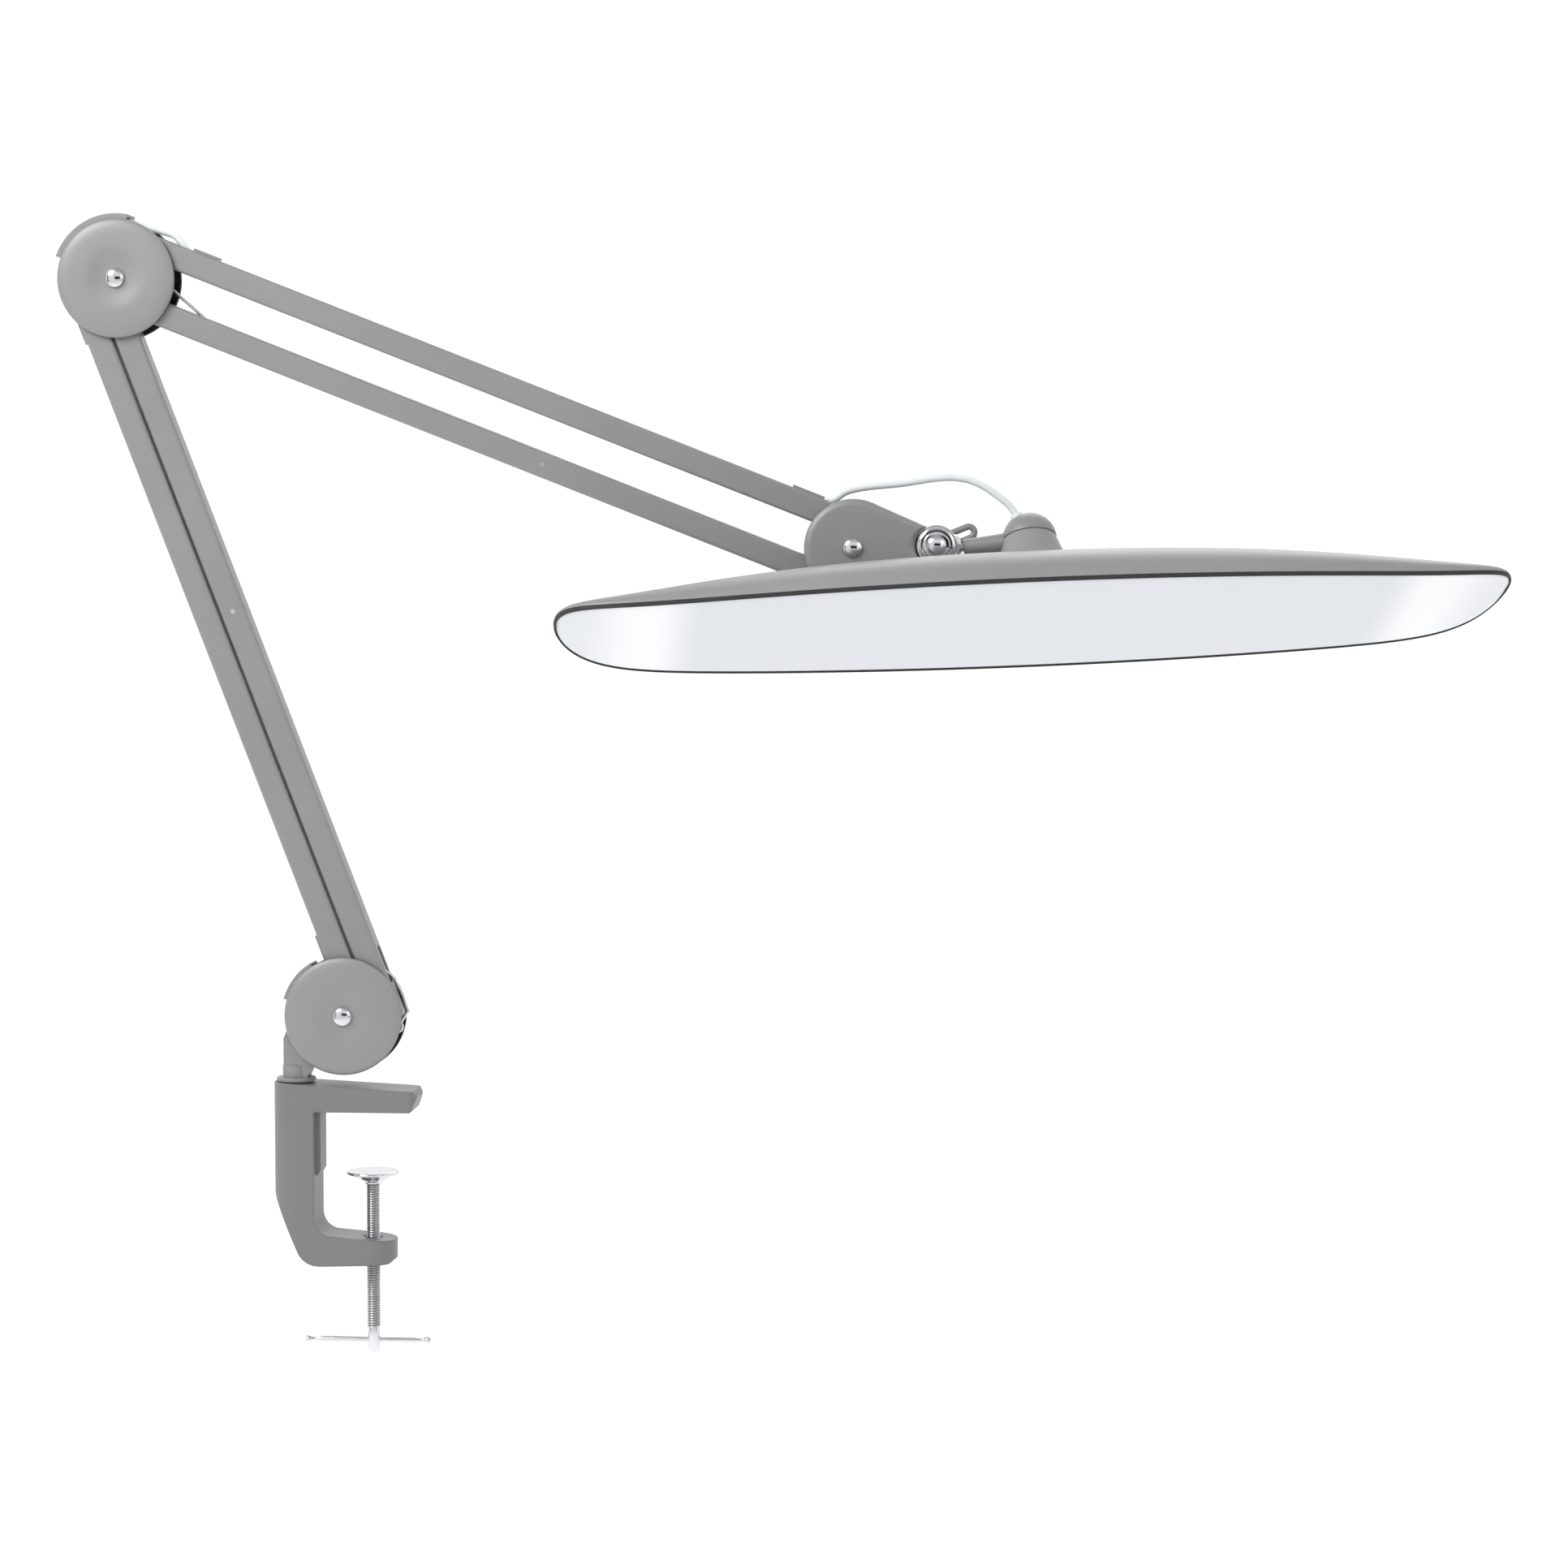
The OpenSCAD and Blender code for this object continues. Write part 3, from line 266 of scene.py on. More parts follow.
class Finish:
    """A material with one Principled shader; its fixed sockets are given by name, with _ for a space."""

    def __init__(self, name, **fixed):
        self.material = bpy.data.materials.new(name)
        self.material.use_nodes = True
        self.tree = self.material.node_tree
        self.shader = self.tree.nodes["Principled BSDF"]
        for key, value in fixed.items():
            self.shader.inputs[key.replace("_", " ")].default_value = value
        self.place = self.node("TexCoord", out="Object")

    def node(self, kind, settings=None, sockets=None, out=0):
        """Any node: its settings are made first, then the values and links of its sockets."""
        made = self.tree.nodes.new("ShaderNode" + kind)
        for key, value in (settings or {}).items():
            setattr(made, key, value)
        for key, value in (sockets or {}).items():
            if isinstance(value, Pattern):
                self.tree.links.new(value.socket, made.inputs[key])
            else:
                made.inputs[key].default_value = value
        return Pattern(self, made.outputs[out])

    def feed(self, name, pattern):
        """Link a pattern to one of the shader's sockets."""
        self.tree.links.new(pattern.socket, self.shader.inputs[name])

    def noise(self, scale, detail=2, place=None):
        """Cloudy noise from 0 to 1; scale is how many clouds fit in a metre."""
        return self.node("TexNoise", None, {"Vector": place or self.place, "Scale": scale, "Detail": detail})

    def stretched(self, scale):
        """The place with each axis multiplied by its own number, for marks that run one way."""
        return self.node("Mapping", None, {"Vector": self.place, "Scale": scale})

    def within(self, pattern, low, high):
        """A ramp from 0 where the pattern is low to 1 where it is high."""
        return self.node("MapRange", {"interpolation_type": "SMOOTHSTEP"}, {0: pattern, 1: low, 2: high})

    def shade(self, factor, dark, light):
        """A colour between two, by a pattern from 0 to 1."""
        return self.node("Mix", {"data_type": "RGBA"}, {0: factor, 6: (*dark, 1), 7: (*light, 1)}, out=2)

    def edges(self, radius):
        """How far the surface turns within the radius: 0 on a flat, towards 1 on a sharp edge."""
        round_way = self.node("Bevel", {"samples": 4}, {"Radius": radius})
        true_way = self.node("NewGeometry", out="Normal")
        ways = {0: round_way, 1: true_way}
        along = self.node("VectorMath", {"operation": "DOT_PRODUCT"}, ways, out="Value")
        return 1 - along

    def relief(self, height, depth, radius=0):
        """Bumps of so much depth, over corners softened by a radius."""
        sockets = {"Height": height, "Distance": depth, "Strength": 1.0}
        if radius:
            sockets["Normal"] = self.node("Bevel", {"samples": 4}, {"Radius": radius})
        self.feed("Normal", self.node("Bump", None, sockets))


# %% [markdown]
# ## Grey paint
# The arms, covers and clamp wear a satin silver-grey baked paint. It has fine metal flake, a faint orange
# peel from the spray gun, slow changes of tone where it dried, and it is rubbed brighter on sharp corners.
# One recipe is used four times with other numbers, because covers, tubes, castings and the shade differ a
# little.
# %% Mix the paints
def grey_paint(name, tone, peel, flake, soften, rough):
    """Satin paint: tone is its grey, peel its orange peel's depth, soften the rounding of its corners."""
    paint = Finish(name, Metallic=0.15, Specular_IOR_Level=0.5)
    drift = paint.noise(14, 3)
    speck = paint.noise(1900, 2)
    rubbed = paint.within(paint.edges(0.5 * MM) * (0.4 + paint.noise(90)), 0.1, 0.45) if soften else 0
    level = 0.5 + (drift - 0.5) * 0.5 + (speck - 0.5) * flake
    level = level + 0.35 * rubbed if soften else level
    dark, light = np.array(tone) * 0.82, np.array(tone) * 1.18
    paint.feed("Base Color", paint.shade(level, dark, light))
    paint.feed("Roughness", rough + (drift - 0.5) * 0.12 + (speck - 0.5) * 0.08)
    paint.relief(paint.noise(520, 1) + 0.3 * speck, peel, soften)
    return paint.material


cover_paint = grey_paint("cover_paint", (0.25, 0.251, 0.253), 0.03 * MM, 0.35, 0.35 * MM, 0.42)
tube_paint = grey_paint("tube_paint", (0.235, 0.236, 0.238), 0.02 * MM, 0.55, 0.25 * MM, 0.4)
cast_paint = grey_paint("cast_paint", (0.175, 0.176, 0.178), 0.06 * MM, 0.35, 1.4 * MM, 0.45)
shade_paint = grey_paint("shade_paint", (0.275, 0.276, 0.278), 0.02 * MM, 0.3, 0, 0.42)

# %% [markdown]
# ## Bright and dark metal
# Bolts, yoke, pad and screw are chrome plated: nearly a mirror, with hairline scratches and a haze of
# handling. Rivets and pins are duller zinc. The inner plates are black oxide, with a grain left by the
# press.
# %% Plate the metals
def bright_metal(name, tone, rough, haze, scratch, soften):
    """Plated metal: rough is its polish, haze the patches on it, scratch the depth of its hairlines."""
    metal = Finish(name, Metallic=1.0)
    smear = metal.noise(120, 3)
    hairline = metal.noise(700, 2, metal.stretched((1, 14, 1)))
    marks = metal.within(hairline, 0.55, 0.8)
    metal.feed("Base Color", metal.shade(smear * 0.7 + marks * 0.3, np.array(tone) * 0.86, tone))
    metal.feed("Roughness", rough + haze * smear + 0.1 * marks)
    metal.relief(hairline, scratch, soften)
    return metal.material


chrome = bright_metal("chrome_plate", (0.68, 0.69, 0.71), 0.06, 0.1, 0.004 * MM, 0.25 * MM)
zinc = bright_metal("zinc_plate", (0.56, 0.57, 0.58), 0.24, 0.2, 0.01 * MM, 0.2 * MM)
spring_wire = bright_metal("spring_wire", (0.62, 0.63, 0.65), 0.2, 0.15, 0.006 * MM, 0)


def cut_thread():
    """Plated screw steel, darker and rougher in the groove as painted shade; the mesh marks the groove with
    its own attribute.
    """
    steel = Finish("screw_thread", Metallic=1.0)
    depth = steel.node("Attribute", {"attribute_name": "groove"}, out="Fac")
    smear = steel.noise(160, 3)
    # The dark colour deep in the groove is painted shade, standing for the shade that the thread's own flanks
    # cast.
    steel.feed("Base Color", steel.shade(depth * 0.75 + smear * 0.2, (0.72, 0.73, 0.75), (0.22, 0.22, 0.23)))
    steel.feed("Roughness", 0.16 + 0.3 * depth + 0.1 * smear)
    steel.relief(smear, 0.01 * MM)
    return steel.material


thread_steel = cut_thread()


def black_oxide():
    """Black pressed steel: dark grain along the sheet, worn grey where the pins and edges rub."""
    plate = Finish("black_oxide", Metallic=0.6)
    grain = plate.noise(420, 3, plate.stretched((1, 1, 5)))
    rubbed = plate.within(plate.edges(0.4 * MM), 0.15, 0.6)
    fresh, worn = (0.006, 0.006, 0.007), (0.09, 0.09, 0.095)
    plate.feed("Base Color", plate.shade(0.35 * grain + 0.5 * rubbed, fresh, worn))
    plate.feed("Roughness", 0.38 + 0.25 * grain)
    plate.relief(grain, 0.02 * MM, 0.2 * MM)
    return plate.material


oxide = black_oxide()

# %% [markdown]
# ## Plastics and rubber
# Moulded plastic is one colour all through. What makes it look real is the spark-eroded texture of the
# mould, dust that dulls the hollows, and a little yellowing in patches.
# %% Mould the plastics
def moulded(name, dark, light, rough, texture, depth, soften=0):
    """Moulded plastic or rubber: two close colours, a mould texture so many bumps to the metre, and dust."""
    plastic = Finish(name)
    grain, cloud = plastic.noise(texture, 2), plastic.noise(35, 3)
    plastic.feed("Base Color", plastic.shade(0.7 * cloud + 0.3 * grain, dark, light))
    plastic.feed("Roughness", rough + 0.15 * cloud + 0.1 * grain)
    plastic.relief(grain, depth, soften)
    return plastic.material


nylon = moulded("nylon", (0.62, 0.61, 0.56), (0.74, 0.73, 0.68), 0.42, 1500, 0.02 * MM, 0.2 * MM)
cable = moulded("lead_sheath", (0.64, 0.67, 0.68), (0.76, 0.79, 0.80), 0.3, 800, 0.02 * MM)
# The seal's near-black is its rubber and also painted shade: it stands for the shade in the gap between the
# shell and the cover.
rubber = moulded("seal_rubber_with_painted_shade", (0.010, 0.010, 0.011), (0.028, 0.028, 0.03), 0.55, 1200, 0.03 * MM)
black_key = moulded("key_plastic", (0.014, 0.014, 0.016), (0.04, 0.04, 0.044), 0.4, 1700, 0.02 * MM, 0.3 * MM)

# %% [markdown]
# ## The frosted cover of the light
# The cover is opal acrylic. It scatters, so it looks nearly flat, but where it curves up at each end it
# catches more light in a soft band. The band is painted from the cover's own UV map, which runs along the
# head.
# %% Frost the acrylic
def opal():
    """Pale blue-grey acrylic with a painted highlight band near each end, where u is the place along the
    head.
    """
    acrylic = Finish("opal_acrylic", Coat_Weight=0.25, Coat_Roughness=0.12, Specular_IOR_Level=0.4)
    along = acrylic.node("SeparateXYZ", None, {0: acrylic.node("TexCoord", out="UV")})
    middle_out = acrylic.node("Math", {"operation": "ABSOLUTE"}, {0: along * 2 - 1})
    # The band is a painted highlight: the light that the cover catches where it curves up at each end.
    band = acrylic.within(middle_out, 0.70, 0.80) * (1 - acrylic.within(middle_out, 0.83, 0.97) * 0.75)
    cloud, frost = acrylic.noise(9, 3), acrylic.noise(2600, 2)
    level = 0.25 + 0.12 * (cloud - 0.5) + 0.06 * (frost - 0.5) + 0.55 * band
    acrylic.feed("Base Color", acrylic.shade(level, (0.54, 0.57, 0.615), (0.87, 0.88, 0.89)))
    acrylic.feed("Roughness", 0.34 + 0.12 * cloud - 0.1 * band)
    acrylic.relief(frost, 0.01 * MM)
    return acrylic.material


opal_acrylic = opal()
print("materials:", [material.name for material in bpy.data.materials])

# %% [markdown]
# ## The head's own frame
# The head is drawn as if it lay flat: x along it, z up the swivel, zero where the dome parts from its seat.
# A turned frame then carries the points to where the head hangs, rolled and swivelled about the stem.
# %% Turn flat drawings into place
def placed(points, origin, x_way, z_way):
    """Points in millimetres, drawn in a frame, moved to the frame's place in metres."""
    x_way, z_way = np.asarray(x_way, float), np.asarray(z_way, float)
    frame_ways = np.stack([x_way, np.cross(z_way, x_way), z_way])
    return np.asarray(points, float) * MM @ frame_ways + origin


swivel = np.radians(11)
head_way = np.cos(swivel) * stem_way + np.sin(swivel) * np.cross(swivel_way, stem_way)
ROD_WAY = (0, 1, 0)


def on_head(points):
    """Points of the head's own frame, moved to where the head hangs."""
    return placed(points, dome_at, head_way, swivel_way)


def turned(profile, origin, axis, start_way, segments=96):
    """A turned shape: the profile's radius and height, in millimetres, carried round an axis."""
    radius, height = np.asarray(profile, float).T
    turn = np.linspace(0, 2 * np.pi, segments, endpoint=False)
    rings = np.stack([radius[:, None] * np.cos(turn), radius[:, None] * np.sin(turn),
                      np.broadcast_to(height[:, None], (len(radius), segments))], axis=-1)
    return placed(rings, origin, start_way, axis), False, True


def arc(centre, radius, start, end, count):
    """Points of a circle's arc, from one angle to another, in degrees."""
    turn = np.radians(np.linspace(start, end, count))[:, None]
    return np.asarray(centre) + radius * np.hstack([np.cos(turn), np.sin(turn)])


# %% [markdown]
# ## The shade
# The shade is drawn aluminium: bowed sides, a crown that falls towards both ends, and a rim that sweeps up
# at the tips. Its outline and its back are two short formulas. The seat of the swivel is spun separately
# and flows into the crown, so it is a surface of its own that ends just under the crown's skin.
# %% Draw the shade's formulas
HEAD_LONG, HEAD_WIDE, BACK_HIGH, RIM_Z = 488, 105, 30.5, -45.5
along = np.sin(np.linspace(-np.pi / 2, np.pi / 2, 241))[:, None]


def half_width(u, wide):
    """Half the width times one less 0.35 u squared, and times the root of one less u to the 18."""
    return wide / 2 * (1 - 0.35 * u ** 2) * np.sqrt(np.clip(1 - np.abs(u) ** 18, 0, None))


def back_height(u, high):
    """The crown's height: it falls by 0.42 of u squared, and closes by the root of one less u to the 3.5."""
    return high * (1 - 0.42 * u ** 2) * np.sqrt(np.clip(1 - np.abs(u) ** 3.5, 0, None))


def rim_lift(x):
    """The rim's sweep: 9.8 mm times the place along the head to the twelfth."""
    return 9.8 * np.abs(2 * x / HEAD_LONG) ** 12


def back_skin(long, wide, high):
    """The back: each crossing is half an ellipse, from rim to rim."""
    turn = np.linspace(0, np.pi, 73)[None, :]
    x = long / 2 * along + 0 * turn
    return np.stack([x, half_width(along, wide) * np.cos(turn),
                     RIM_Z + rim_lift(x) + back_height(along, high) * np.sin(turn)], axis=-1)


WALL = 2
outer = back_skin(HEAD_LONG, HEAD_WIDE, BACK_HIGH)
inner = back_skin(HEAD_LONG - 2 * WALL, HEAD_WIDE - 2 * WALL, BACK_HIGH - WALL)
print("shade grid", outer.shape)


# %% Spin the seat of the swivel and close the shade
def crown_at(x, y):
    """The crown's height over a point of the plan."""
    u = 2 * x / HEAD_LONG
    across = np.clip(y / half_width(u, HEAD_WIDE), -1, 1)
    return RIM_Z + rim_lift(x) + back_height(u, BACK_HIGH) * np.sqrt(1 - across ** 2)


SEAT_RADIUS, SEAT_SPREAD, CONE_DROP, CONE_WIDE = 13.5, 14.5, 18, 5.8


def swivel_seat():
    """A bell: a steep cone and the crown, joined by a smooth maximum over 5 mm of height."""
    share = np.linspace(0, 1, 48)[:, None] ** 1.7
    turn = np.linspace(0, 2 * np.pi, 120, endpoint=False)[None, :]
    radius = SEAT_RADIUS + SEAT_SPREAD * share
    x, y = radius * np.cos(turn), radius * np.sin(turn)
    cone = 0 * x - CONE_DROP * (radius - SEAT_RADIUS) / CONE_WIDE
    crown = crown_at(x, y)
    mix = np.clip(0.5 + (cone - crown) / 10, 0, 1)
    z = crown + (cone - crown) * mix + 5 * mix * (1 - mix) - 0.3 * share ** 4
    lip = np.stack([4.3 * np.cos(turn), 4.3 * np.sin(turn), 0 * turn], axis=-1)
    return on_head(np.concatenate([lip, np.stack([x, y, z], axis=-1)]))


rims = [np.stack([outer[:, k], inner[:, k]], axis=1) for k in (0, -1)]
closed_shade = [(on_head(grid), False, False) for grid in (outer, inner, *rims)]
shade = piece("shade_skin", closed_shade, "head", 50)
seat = piece("swivel_seat", [(swivel_seat(), False, True)], "head", 50)
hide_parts("shade_shell")
coat_later = {shade: "shade", seat: "shade"}

# %% [markdown]
# ## The gasket and the frosted cover
# A black rubber band seals the cover to the rim, and shows as a thin dark line all the way round; its black
# also stands for the painted shade in the gap between shell and cover. The cover has a softly rounded edge.
# Its UV map runs along the head, for the painted highlight bands near the ends.
# %% Mould the gasket and the cover
def rim_line(inset, drop, turn):
    """The outline, so far inside the rim: u is the cosine of the turn, and the side follows its sine."""
    u = np.cos(turn)
    x = (HEAD_LONG / 2 - inset) * u
    y = np.sign(np.sin(turn)) * half_width(u, HEAD_WIDE - 2 * inset)
    return np.stack([x, y, RIM_Z + rim_lift(x) + drop], axis=-1)


round_rim = np.linspace(0, 2 * np.pi, 560, endpoint=False)
band = np.stack([rim_line(inset, drop, round_rim) for inset, drop in (
    (0.4, 0), (-0.2, -0.15), (-0.4, -0.6), (-0.4, -1.9), (-0.1, -2.35), (0.5, -2.3), (0.85, -1.4),
    (3.4, -1.08), (3.8, -0.6), (3.4, 0))], axis=1)
gasket = piece("rim_seal", [(on_head(band), True, True)], "head", 40)
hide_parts("rim_gasket")

across = np.sin(np.linspace(-np.pi / 2, np.pi / 2, 61))[None, :]
cover_x = (HEAD_LONG / 2 - 0.9) * along + 0 * across
cover_y = half_width(along, HEAD_WIDE - 1.8) * across
swell = np.sqrt(np.clip((1 - across ** 24) * (1 - along ** 90), 0, None))
cover_top = np.stack([cover_x, cover_y, RIM_Z + rim_lift(cover_x) - 1.1], axis=-1)
cover_face = cover_top - np.stack([0 * swell, 0 * swell, 1.3 * swell], axis=-1)
cover = piece("frosted_cover", [(on_head(grid), False, False) for grid in (cover_top, cover_face)],
              "head", 60)
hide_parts("diffuser")


def lay_uv(made, origin, u_way, v_way, long, wide):
    """A flat UV map: how far each corner lies along two ways from an origin, as a share of two lengths."""
    corners = np.empty(len(made.data.loops), int)
    made.data.loops.foreach_get("vertex_index", corners)
    points = np.empty(len(made.data.vertices) * 3)
    made.data.vertices.foreach_get("co", points)
    away = points.reshape(-1, 3)[corners] - origin
    uv = np.stack([away @ np.asarray(u_way) / long, away @ np.asarray(v_way) / wide], axis=1) + 0.5
    made.data.uv_layers.new(name="along").data.foreach_set("uv", uv.ravel())


lay_uv(cover, dome_at, head_way, np.cross(swivel_way, head_way), HEAD_LONG * MM, HEAD_WIDE * MM)
coat_later |= {gasket: "gasket", cover: "milk"}

# %% [markdown]
# ## The dome and its stem
# The stem is turned steel that swells where it meets the dome, as a casting does. The dome is a hollow
# hemisphere that turns on its seat, with a small white collar where the lead goes in.
# %% Turn the dome, the stem and the collar
DOME_RADIUS, ENTRY_LEAN = 13.8, 30
stem_long = float(np.linalg.norm(dome_at - neck_at)) / MM
stem_share = np.linspace(0, 1, 40)
stem_at = 0.8 + (stem_long - 6) * stem_share
stem_radius = 4.1 + 1.0 * stem_share + 4.2 * stem_share ** 14
stem_profile = [[0, 0.8], [3.6, 0.8], [4.1, 1.3], *np.column_stack([stem_radius, stem_at])[2:]]
dome_profile = [[0, 2.6], [11, 2.6], [11, 0.25], [13.3, 0.25], *arc((0, 0), DOME_RADIUS, 2, 90, 40)]
entry_tilt = np.radians(ENTRY_LEAN)
entry_way = np.array([-np.sin(entry_tilt), 0, np.cos(entry_tilt)])
collar_profile = [[1.95, 12.2], [1.95, 14.8], [2.4, 15.1], [2.9, 14.8], [3.3, 13.6], [3.3, 12.2]]
dome = piece("dome_and_stem", [
    turned(dome_profile, dome_at, swivel_way, stem_way, 128),
    turned(stem_profile, neck_at, stem_way, swivel_way, 64),
], "stem", 40)
collar = piece("lead_collar", [turned(collar_profile, dome_at, entry_way, ROD_WAY, 48)], "stem", 40)
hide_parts("stem_dome")
coat_later |= {dome: "paint", collar: "cable"}

# %% [markdown]
# ## The round covers
# Each knuckle has two pressed covers: a shallow drum with a soft shoulder and a dish round the bolt. The
# press leaves no sharp line, so the face is one cosine step added to one flattened dome.
# %% Press the round covers
COVER_HIGH, PLATE_OUT, BOLT_HOLE, SHEET = 2.6, 8.6, 3.05, 1.1
DISH_FLAT, DISH_RADIUS, DISH_DEEP = 5.5, 17, 1.1
cover_radius = (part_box("base_cover_near")[1][0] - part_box("base_cover_near")[0][0]) / 2 / MM


def pressed_face(radius):
    """The cover's height times the root of one less the radius share to the eighth, less a cosine dish."""
    step = np.clip((radius - DISH_FLAT) / (DISH_RADIUS - DISH_FLAT), 0, 1)
    crown = COVER_HIGH * np.sqrt(np.clip(1 - (radius / cover_radius) ** 8, 0, None))
    return crown - DISH_DEEP * (1 + np.cos(np.pi * step)) / 2


face_radius = BOLT_HOLE + (cover_radius - BOLT_HOLE) * np.sin(np.linspace(0, np.pi / 2, 60))
back_radius = np.linspace(cover_radius - 1.6, BOLT_HOLE, 24)
pressed_profile = np.vstack([
    np.column_stack([face_radius, PLATE_OUT + pressed_face(face_radius)]),
    np.column_stack([back_radius, PLATE_OUT + np.clip(pressed_face(back_radius) - SHEET, 0.02, None)]),
    [[BOLT_HOLE, PLATE_OUT + pressed_face(BOLT_HOLE)]],
])
for body, centre in (("post", base_at), ("elbow", elbow_at)):
    knuckle = {"post": "base", "elbow": "elbow"}[body]
    for side, way in (("near", (0, -1, 0)), ("far", (0, 1, 0))):
        pressed = piece(f"{knuckle}_pressing_{side}", [turned(pressed_profile, centre, way, (1, 0, 0), 144)],
                        body, 40)
        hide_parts(f"{knuckle}_cover_{side}")
        coat_later[pressed] = "paint"

# %% [markdown]
# ## The end covers
# The last knuckle's covers are a disc drawn out into a tail, bitten round by the tilt joint and cut
# straight along the bottom. The outline is found by walking out from the bolt until a point leaves that
# shape.
# %% Find the outline and round its shoulder
END_RADIUS, TAIL_REACH, BITE_RADIUS, CUT_DEPTH = 25, 37.7, 10.9, 19.7
cut_slope = np.tan(np.radians(9))
bite_x, bite_z = (tilt_at - end_at)[[0, 2]] / MM


def in_end_cover(x, z):
    """Inside the disc or the tail's two straight edges, outside the tilt joint's circle, above the cut."""
    disc = np.hypot(x, z) < END_RADIUS
    tail = (x > 9) & (x < TAIL_REACH) & (z < 23.3 - 0.44 * (x - 9)) & (z > -24.3 + 0.47 * (x - 6))
    joint = np.hypot(x - bite_x, z - bite_z) < BITE_RADIUS
    return (disc | tail) & ~joint & (z - cut_slope * x > -CUT_DEPTH)


walk = np.linspace(0, 48, 2400)[:, None]
aim = np.linspace(0, 2 * np.pi, 240, endpoint=False)[None, :]
walk_x, walk_z = walk * np.cos(aim), walk * np.sin(aim)
outside = ~in_end_cover(walk_x, walk_z)
reach = walk[np.argmax(outside, axis=0), 0]
print("end cover reach", reach.min().round(1), "to", reach.max().round(1), "mm")


def end_pressing(side):
    """A face whose shoulder is a quarter ellipse 4 mm wide and 2.75 mm high, and a flat back at the plate."""
    share = np.sin(np.linspace(0, np.pi / 2, 40))[:, None]
    inward = np.clip((1 - share) * reach / 4.0, 0, 1)
    rise = PLATE_OUT + 0.05 + 2.75 * np.sqrt(np.clip(1 - (1 - inward) ** 2, 0, None))
    back = np.broadcast_to(PLATE_OUT + 0.05, rise.shape)
    faces = [np.stack([share * reach * np.cos(aim), side * height, share * reach * np.sin(aim)], axis=-1)
             for height in (rise, back)]
    return [(face * MM + end_at, False, True) for face in faces]


end_skin = piece("end_pressings", end_pressing(-1) + end_pressing(1), "end", 40)
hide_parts("end_covers")
coat_later[end_skin] = "paint"

# %% [markdown]
# ## The screw, its pad and the domed bolts
# Plated parts show every facet, so they are turned again with fine segments. The screw carries a real
# thread: a helix whose depth follows the height less the turn, so one groove climbs the whole screw.
# %% Cut the thread
screw_low, screw_high = np.array(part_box("clamp_screw"), float)[:, 2] / MM
THREAD_PITCH, SCREW_RADIUS, BOSS_RADIUS, BOSS_HIGH = 1.25, 3.66, 3.2, 12.5
thread_foot, thread_top = screw_low + BOSS_HIGH + 1, screw_high - 0.8


def threaded():
    """Radius less half a millimetre times a softened triangle of the height in pitches less the turn."""
    height = np.arange(thread_foot, thread_top, THREAD_PITCH / 8)[:, None]
    turn = np.linspace(0, 2 * np.pi, 36, endpoint=False)[None, :]
    phase = (height / THREAD_PITCH - turn / (2 * np.pi)) % 1
    ridge = np.clip(np.abs(2 * phase - 1) * 1.5 - 0.2, 0, 1)
    radius = SCREW_RADIUS - 0.62 * ridge
    return np.stack([radius * np.cos(turn), radius * np.sin(turn), height + 0 * turn], axis=-1) * MM


boss_profile = [[0, screw_low], [BOSS_RADIUS - 0.7, screw_low], [BOSS_RADIUS, screw_low + 0.7],
                [BOSS_RADIUS, thread_foot - 1.4], [BOSS_RADIUS - 0.2, thread_foot], [0, thread_foot]]
tip_profile = [[0, thread_top], [SCREW_RADIUS - 0.6, thread_top],
               [SCREW_RADIUS - 1, screw_high], [0, screw_high]]
UP_WAY, RIGHT_WAY = (0, 0, 1), (1, 0, 0)
screw = piece("threaded_screw", [
    (threaded(), False, True),
    turned(boss_profile, (0, 0, 0), UP_WAY, RIGHT_WAY, 48),
    turned(tip_profile, (0, 0, 0), UP_WAY, RIGHT_WAY, 36),
], "screw", 50)
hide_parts("clamp_screw")
screw_points = np.empty(len(screw.data.vertices) * 3)
screw.data.vertices.foreach_get("co", screw_points)
screw_out = np.hypot(*screw_points.reshape(-1, 3)[:, :2].T) / MM
on_thread = screw_points[2::3] / MM > thread_foot
# The groove's depth marks where the thread's finish paints its shade.
groove = np.clip((SCREW_RADIUS - screw_out) / 0.5, 0, 1) * on_thread
screw.data.attributes.new("groove", "FLOAT", "POINT").data.foreach_set("value", groove.astype(np.float32))
coat_later[screw] = "thread"

# %% Turn the pad and the turning bar
pad_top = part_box("pressure_pad")[1][2] / MM
pad_profile = np.array([
    [0, 0], [12.6, 0], *arc((12.9, -0.8), 0.8, 90, -60, 9), [10.2, -1.9], [9.4, -2.4], [8.6, -3.4],
    [7.2, -4.5], [6, -5.4], [4.7, -5.9], [4.5, -6.5], [3.8, -6.6], [3.8, -3.2], [0, -3.2]]) + [0, pad_top]
pad = piece("polished_pad", [turned(pad_profile, (0, 0, 0), UP_WAY, RIGHT_WAY, 96)], "pad", 30)
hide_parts("pressure_pad")

bar_low, bar_high = np.array(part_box("turning_bar"), float)
bar_middle, bar_half = (bar_low + bar_high) / 2, (bar_high - bar_low)[0] / 2 / MM
bar_end = [[radius, bar_half - back] for radius, back in (
    (1.4, 9), (1.35, 8), (1.0, 7), (0.95, 4.4), (1.1, 3.4), (1.6, 2.6), (1.7, 1), (1.4, 0.2), (0, 0))]
bar_profile = np.array([[r, -h] for r, h in bar_end[::-1]] + bar_end)
bar = piece("polished_bar", [turned(bar_profile, bar_middle, RIGHT_WAY, UP_WAY, 32)], "handle", 40)
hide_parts("turning_bar")
coat_later |= {pad: "chrome", bar: "chrome"}


